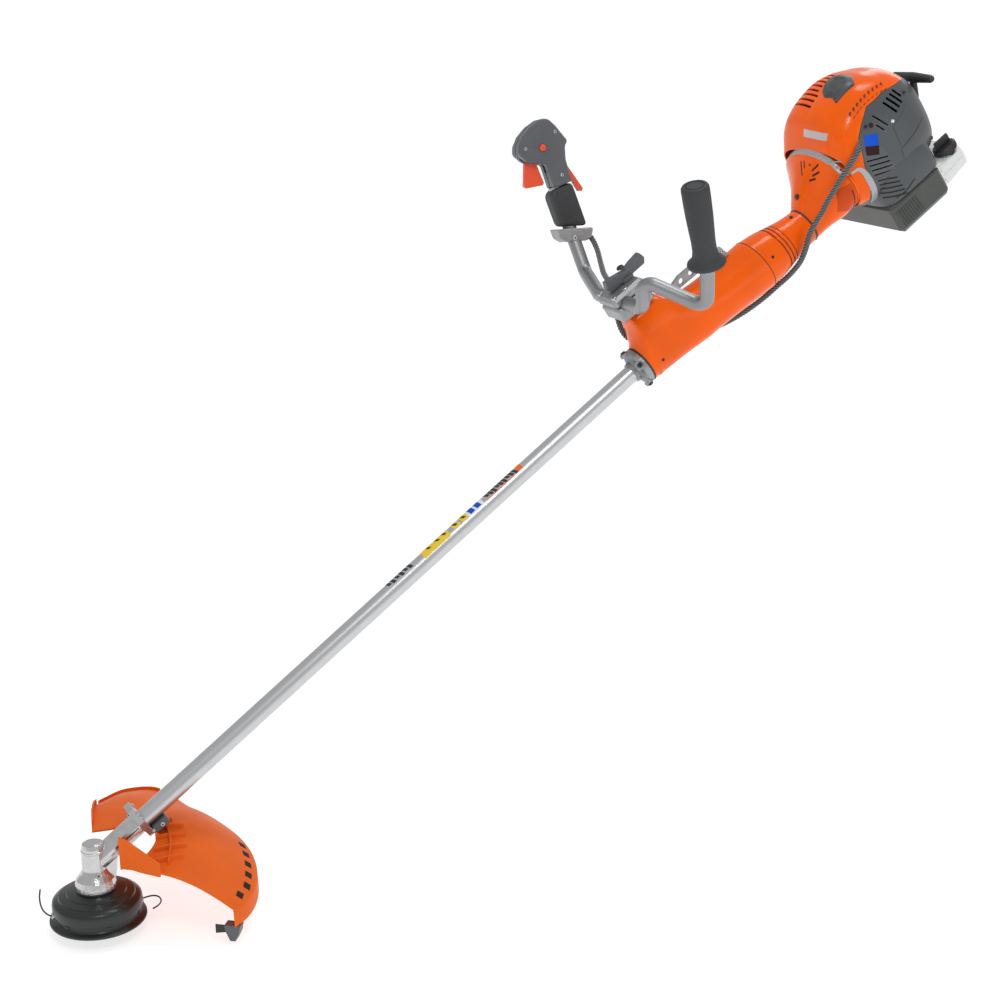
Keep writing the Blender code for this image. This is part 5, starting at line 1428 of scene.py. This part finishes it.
    def insert(self) -> None:
        """The dark faceted cover over the spark plug, on top of the hood."""
        skin = Skin.over(TUBE, bpy.data.objects["top_cover_shell"])
        outline = [(1.6085, -0.0190), (1.6115, -0.0360), (1.6050, -0.0500), (1.6470, -0.0520), (1.6640, -0.0290),
                   (1.6640, -0.0010), (1.6560, 0.0100), (1.6330, 0.0060), (1.6180, -0.0040)]
        middle = Vector((1.6370, -0.0210))
        rings = []
        for share, proud in ((1.0, -0.002), (0.985, 0.0014), (0.93, 0.0030), (0.60, 0.0040), (0.56, 0.0031),
                             (0.12, 0.0031)):
            ring = []
            for a, b in zip(outline, outline[1:] + outline[:1]):
                for i in range(4):
                    spot = middle + (Vector(a).lerp(Vector(b), i / 4) - middle) * share
                    hit, _, fall = skin.touch((spot.x, spot.y, 0.14), (0, 0, -1))
                    ring.append(tuple(hit - fall * proud))
            rings.append(ring)
        form = form_of()
        skinned(form, rings, Matrix.Identity(4))
        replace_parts(finish_form("plug_cover_insert", form, "frame", Look.INSERT, "dark_plastic", 0.0005), "plug_cover")

    def build(self) -> None:
        """Builds both shells."""
        for name, above, look, slot in (("top_cover", True, Look.ORANGE, "orange_plastic"),
                                        ("starter_housing", False, Look.HOUSING, "dark_plastic")):
            shell = self.shell(f"{name}_shell")
            hood, housing = self.slot_forms(shell)
            mine, other = (hood, housing) if above else (housing, hood)
            bpy.data.objects.remove(other, do_unlink=True)
            cut(shell, self.side_block(above), "INTERSECT")
            cut(shell, mine)
            if not above:
                port = form_of()
                box_form(port, (0.044, 0.03, 0.044), TUBE @ at(1.625, 0.096, 0.045))
                turned(port, [(0.0, -0.012), (0.0112, -0.012), (0.0112, 0.012), (0.0, 0.012)],
                       TUBE @ at(1.737, 0.018, -0.008) @ ALONG, steps=40)
                cut(shell, new_piece("port", port))
            shade(shell)
            rounded(shell, 0.0005, 2)
            mount(shell, "frame", look)
            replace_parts(shell, name)
        self.skirt()
        self.insert()


@dataclass
class EngineFittings:
    """Small fittings of the engine's near side, its trim, the rope and the labels."""

    trim_line: tuple[tuple[float, float, float, float], ...] = (
        (1.5448, -0.0560, 0.0705, 0.0044), (1.5438, -0.062, 0.0645, 0.0038), (1.5420, -0.068, 0.0575, 0.0032),
        (1.5415, -0.075, 0.0510, 0.0026), (1.5460, -0.079, 0.0470, 0.0022), (1.5530, -0.083, 0.0465, 0.0023),
        (1.5620, -0.087, 0.0455, 0.0030), (1.5670, -0.090, 0.0360, 0.0040), (1.5690, -0.091, 0.0200, 0.0050),
        (1.5700, -0.089, 0.0020, 0.0052), (1.5705, -0.083, -0.0150, 0.0050), (1.5715, -0.073, -0.0285, 0.0046))

    def build(self) -> None:
        """Builds the fittings."""
        self.trim()
        self.hood_fittings()
        self.housing_fittings()
        self.rope()
        self.bottom_box()

    def trim(self) -> None:
        """The light trim, over the top of the band and down the near side."""
        parts = [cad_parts["trim_band"], *(bpy.data.objects[f"{n}_shell"] for n in
                                                ("clutch_cover", "top_cover", "starter_housing"))]
        skin = Skin.over(TUBE, *parts)
        strip, arc = form_of(), form_of()
        skin.ribbon(strip, list(self.trim_line), (0, 1, 0), 0.0011, 0.001, 5)
        rings = []
        for i in range(41):
            turn = math.radians(-36.0 + 168.0 * i / 40)
            rings.append([(along, half * math.cos(turn), 0.0265 + height * math.sin(turn))
                          for along, half, height in ((1.5395, 0.0844, 0.0562), (1.5497, 0.0866, 0.0592),
                                                      (1.5497, 0.0830, 0.0555), (1.5395, 0.0810, 0.0525))])
        skinned(arc, rings, TUBE)
        finish_forms(
            ("trim_strip", strip, Look.TRIM, "grey_plastic", 0.0004),
            ("trim_arc", arc, Look.TRIM, "grey_plastic", 0.0004))

    def hood_fittings(self) -> None:
        """The hood's scallops and dashes, as dark strips of painted shade, and its plain label and small ribs."""
        skin = Skin.over(TUBE, bpy.data.objects["top_cover_shell"])
        dark, label, ribs = form_of(), form_of(), form_of()
        way = (0.0, 1.0, -0.55)
        # each scallop: a dark strip of painted shade in its dip, over a small orange rib
        for i in range(9):
            t = i / 8
            along, near, up = 1.604 + 0.074 * t, -0.0775 + 0.006 * t, 0.1195 + 0.0045 * math.sin(math.pi * t)
            skin.ribbon(dark, [(along - 0.0026, near, up - 0.0020, 0.0008), (along - 0.0004, near, up + 0.0012, 0.0016),
                               (along + 0.0026, near, up + 0.0026, 0.0007)], way, parts=3)
            skin.ribbon(ribs, line_of((along - 0.0010, near, up - 0.0030), (along + 0.0036, near, up - 0.0004),
                                      0.0007), way, 0.0013)
        # the dashes: short dark strips of painted shade
        for i in range(9):
            t = (i + 0.5) / 9
            along, near, up = 1.600 + 0.080 * t, -0.081, 0.1085 + 0.0095 * math.sin(math.pi * (0.1 + 0.8 * t))
            skin.ribbon(dark, line_of((along - 0.0027, near, up - 0.0007), (along + 0.0027, near, up + 0.0007),
                                      0.0005), way)
        front = (1.0, 0.25, -0.55)
        skin.patch(label, ((1.5640, 0.0040, 0.1140), (1.5660, -0.0560, 0.1090), (1.5585, -0.0530, 0.0995),
                           (1.5570, 0.0055, 0.1035)), front, steps=(12, 3))
        for along, near, up in ((1.5670, -0.0665, 0.1035), (1.5725, -0.0745, 0.1025), (1.5800, -0.0810, 0.1010)):
            skin.ribbon(ribs, line_of((along - 0.0020, near, up - 0.0055), (along + 0.0030, near, up + 0.0050),
                                      0.0010), (0.5, 1.0, -0.4), 0.0013)
        finish_forms(
            ("hood_scallop_shade", dark, Look.JOINT_AND_HOLLOW_SHADE, "orange_plastic"),
            ("hood_label", label, Look.SILVER_MARK, "grey_plastic"),
            ("hood_ribs", ribs, Look.ORANGE, "orange_plastic", 0.0004))

    def housing_fittings(self) -> None:
        """The housing's raised facets, plain labels, screws, clip, seam, and painted shade in a hole and in vent slits.
        """
        skin = Skin.over(TUBE, bpy.data.objects["starter_housing_shell"])
        way = (0, 1, 0)
        near = -0.094
        screws = Screws()
        facets, blue, maroon, clip, dark = (form_of() for _ in range(5))
        for corners in (((1.647, 0.062), (1.690, 0.070), (1.709, 0.034), (1.643, 0.026)),
                        ((1.642, 0.023), (1.7095, 0.031), (1.712, -0.004), (1.637, -0.006))):
            skin.patch(facets, tuple((x, near, z) for x, z in corners), way, 0.0012, steps=(10, 8))
        skin.patch(blue, ((1.5975, near, 0.0835), (1.6185, near, 0.0715), (1.6100, near, 0.0555),
                          (1.5890, near, 0.0690)), way, steps=(6, 5))
        skin.patch(maroon, ((1.5890, near, 0.0685), (1.6100, near, 0.0550), (1.6030, near, 0.0425),
                            (1.5838, near, 0.0550)), way, steps=(6, 5))
        turned(clip, [(0.0, 0.0), (0.0030, 0.0), (0.0030, 0.0016), (0.0022, 0.0026), (0.0, 0.0026)],
               skin.seat((1.6504, near, 0.0700), way), steps=6)
        # a dark disc and five dark strips: painted shade standing in a hole and in the vent slits below the cut ones;
        # the strip after them is a seam
        disc(dark, 0.0040, skin.seat((1.6165, near, 0.0885), way), 28)
        both = Skin.over(TUBE, bpy.data.objects["starter_housing_shell"], bpy.data.objects["housing_skirt"])
        for i in range(5):
            up = 0.006 - 0.0088 * i
            both.ribbon(dark, line_of((1.5820, near, up), (1.6130 + 0.0010 * i, near, up - 0.0165), 0.0011), way)
        both.ribbon(dark, [(1.596, near, -0.0400, 0.0007), (1.618, near, -0.0410, 0.0007),
                           (1.640, near, -0.0350, 0.0007)], way)
        for x, z in ((1.700, 0.086), (1.716, -0.018), (1.590, -0.034), (1.6080, 0.0925)):
            for side in (-1, 1) if x >= 1.65 else (-1,):
                screws.add(0.0030, skin.seat((x, side * 0.08, z), (0, -side, 0)))
        finish_forms(
            ("housing_facets", facets, Look.HOUSING, "dark_plastic", 0.0007),
            ("housing_label_blue", blue, Look.BLUE, "white_plastic"),
            ("housing_label_maroon", maroon, Look.MAROON, "white_plastic"),
            ("housing_clip", clip, Look.WHITE, "white_plastic"),
            ("housing_opening_shade_and_seam", dark, Look.OPENING_SHADE_AND_JOINT, "black_plastic"))
        screws.finish("housing", Look.BLACK, "black_plastic")

    def rope(self) -> None:
        """The starter rope, which pays out of its guide, and the guide's coloured bush."""
        guide = aimed(TUBE, (1.745, -0.015, 0.018), (2.124, -0.015, 0.944))
        rope, bush = form_of(), form_of()
        turned(rope, [(0.0, 0.001), (0.0016, 0.001)] + [(0.0016, 0.002 + 0.001 * i) for i in range(1, 13)]
               + [(0.0, 0.014)], guide, steps=14)
        turned(bush, [(0.0018, 0.0005), (0.0062, 0.0005), (0.0066, 0.0050), (0.0052, 0.0080), (0.0018, 0.0080)],
               guide, steps=32, ring=True)
        obj = new_piece("starter_rope", rope)
        Look.BLACK.value.dress(obj)
        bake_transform(obj)
        finish_form("rope_guide_bush", bush, "frame", Look.RED, "red_plastic", 0.0005)

    def bottom_box(self) -> None:
        """Ribs of the tank guard, the tank's moulded bands and its fuel line, and the cap's grip."""
        box = Skin.over(TUBE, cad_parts["tank_guard"])
        ribs, bands, line, grip = form_of(), form_of(), form_of(), form_of()
        for i in range(9):
            along = 1.5850 + 0.0052 * i
            for side in (-1, 1):
                box.ribbon(ribs, line_of((along, side * 0.086, -0.060), (along + 0.004, side * 0.086, -0.090), 0.0009),
                           (0, -side, 0), 0.0014)
        box.ribbon(ribs, line_of((1.640, -0.086, -0.0495), (1.686, -0.086, -0.0520), 0.0011), (0, 1, 0), 0.0016)
        tank = Skin.over(TUBE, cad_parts["fuel_tank"])
        for up in (-0.066, -0.083):
            for side in (-1, 1):
                tank.ribbon(bands, line_of((1.694, side * 0.072, up), (1.750, side * 0.068, up), 0.0016),
                            (0, -side, 0), 0.0012)
            tank.ribbon(bands, line_of((1.757, -0.050, up), (1.757, 0.050, up), 0.0016), (-1, 0, 0), 0.0012)
        path = flow([(1.742, 0.040, -0.052), (1.7465, 0.040, -0.040), (1.7455, 0.034, -0.024),
                     (1.7400, 0.028, -0.014)], 8)
        ThrottleCable().tube(line, path, 0.0022, 0.0, 0.0, 12)
        for i in range(22):
            box_form(grip, (0.0014, 0.0022, 0.0085),
                     TUBE @ at(1.735, -0.049, -0.0542) @ Matrix.Rotation(math.tau * i / 22, 4, "Z") @ at(0.019, 0, 0))
        finish_forms(
            ("tank_guard_ribs", ribs, Look.OLIVE, "dark_plastic", 0.0004),
            ("tank_bands", bands, Look.TANK, "white_plastic", 0.0004),
            ("fuel_line", line, Look.LINE, "rubber"))
        finish_form("fuel_cap_grip", grip, "cap", Look.BLACK, "black_plastic", 0.0003)


# --- setting ----------------------------------------------------------------------------------


@dataclass
class Studio:
    """The floor, the lights and the camera."""

    floor_up: float = -0.8895
    azimuth: float = math.radians(-25.39)
    elevation: float = math.radians(16.455)
    roll: float = math.radians(-1.089)
    eye: Point = (-1.5415, -2.539, 0.5064)
    lens: float = 68.46

    def floor(self) -> None:
        """A plain pale flat floor that reaches far out under the white surround."""
        form = form_of()
        slab(form, [(-80.0, -80.0), (80.0, -80.0), (80.0, 80.0), (-80.0, 80.0)], 0.02,
             at(0.0, 0.0, self.floor_up - 0.01))
        floor = new_piece("floor", form, smooth=False)
        Finish("floor_white", (0.50, 0.50, 0.50), 0.7, shade=0.01, grain_depth=0.0, wear=0.0,
               specular=0.1, glow=0.72).dress(floor)

    def lights(self) -> None:
        """A white surround and soft panels."""
        world = bpy.data.worlds.new("pale_surround")
        world.use_nodes = True
        world.node_tree.nodes["Background"].inputs["Color"].default_value = (1.0, 1.0, 1.0, 1.0)
        sight = world.node_tree.nodes.new("ShaderNodeLightPath")
        level = world.node_tree.nodes.new("ShaderNodeMapRange")
        level.inputs["To Min"].default_value = 0.62
        level.inputs["To Max"].default_value = 1.0
        world.node_tree.links.new(sight.outputs["Is Camera Ray"], level.inputs["Value"])
        world.node_tree.links.new(level.outputs["Result"],
                                  world.node_tree.nodes["Background"].inputs["Strength"])
        bpy.context.scene.world = world
        for name, place, power, size in (("key", (-1.2, -2.0, 2.4), 20.0, 0.55), ("top", (0.4, 0.2, 2.6), 16.0, 0.7),
                                         ("rim", (2.2, 1.8, 1.6), 10.0, 1.2), ("low", (0.9, -2.4, 0.2), 3.0, 0.9)):
            lamp = bpy.data.lights.new(name, "AREA")
            lamp.energy = power
            lamp.size = size
            obj = bpy.data.objects.new(name, lamp)
            bpy.context.scene.collection.objects.link(obj)
            obj.location = place
            aim = Vector((0.0, 0.0, -0.1)) - Vector(place)
            obj.rotation_euler = aim.to_track_quat("-Z", "Y").to_euler()

    def camera(self) -> None:
        """The camera."""
        az, el = self.azimuth, self.elevation
        back = Vector((math.sin(az) * math.cos(el), -math.cos(az) * math.cos(el), math.sin(el)))
        right = Vector((math.cos(az), math.sin(az), 0.0))
        up = back.cross(right)
        rolled = right * math.cos(self.roll) + up * math.sin(self.roll)
        level = up * math.cos(self.roll) - right * math.sin(self.roll)
        data = bpy.data.cameras.new("camera")
        data.lens = self.lens
        data.sensor_width = 36.0
        data.clip_end = 200.0
        obj = bpy.data.objects.new("camera", data)
        bpy.context.scene.collection.objects.link(obj)
        obj.matrix_world = Matrix.Translation(self.eye) @ Matrix((rolled, level, back)).transposed().to_4x4()
        bpy.context.scene.camera = obj

    def build(self) -> None:
        """Builds the setting."""
        self.floor()
        self.lights()
        self.camera()
        bpy.context.scene.view_settings.view_transform = "Standard"


def main() -> None:
    """Dresses every solid, builds each sub-assembly's fittings, and sets up the studio."""
    logging.basicConfig(level=logging.INFO, format="%(name)s: %(message)s")
    dress_nodes()
    for assembly in (DriveTube(), Gearbox(), CuttingHead(), DebrisGuard(), Handlebar(), ThrottleCable(), Shroud(),
                     EngineShells(), EngineFittings(), Studio()):
        LOG.info("building %s", type(assembly).__name__)
        assembly.build()


if __name__ == "__main__":
    main()
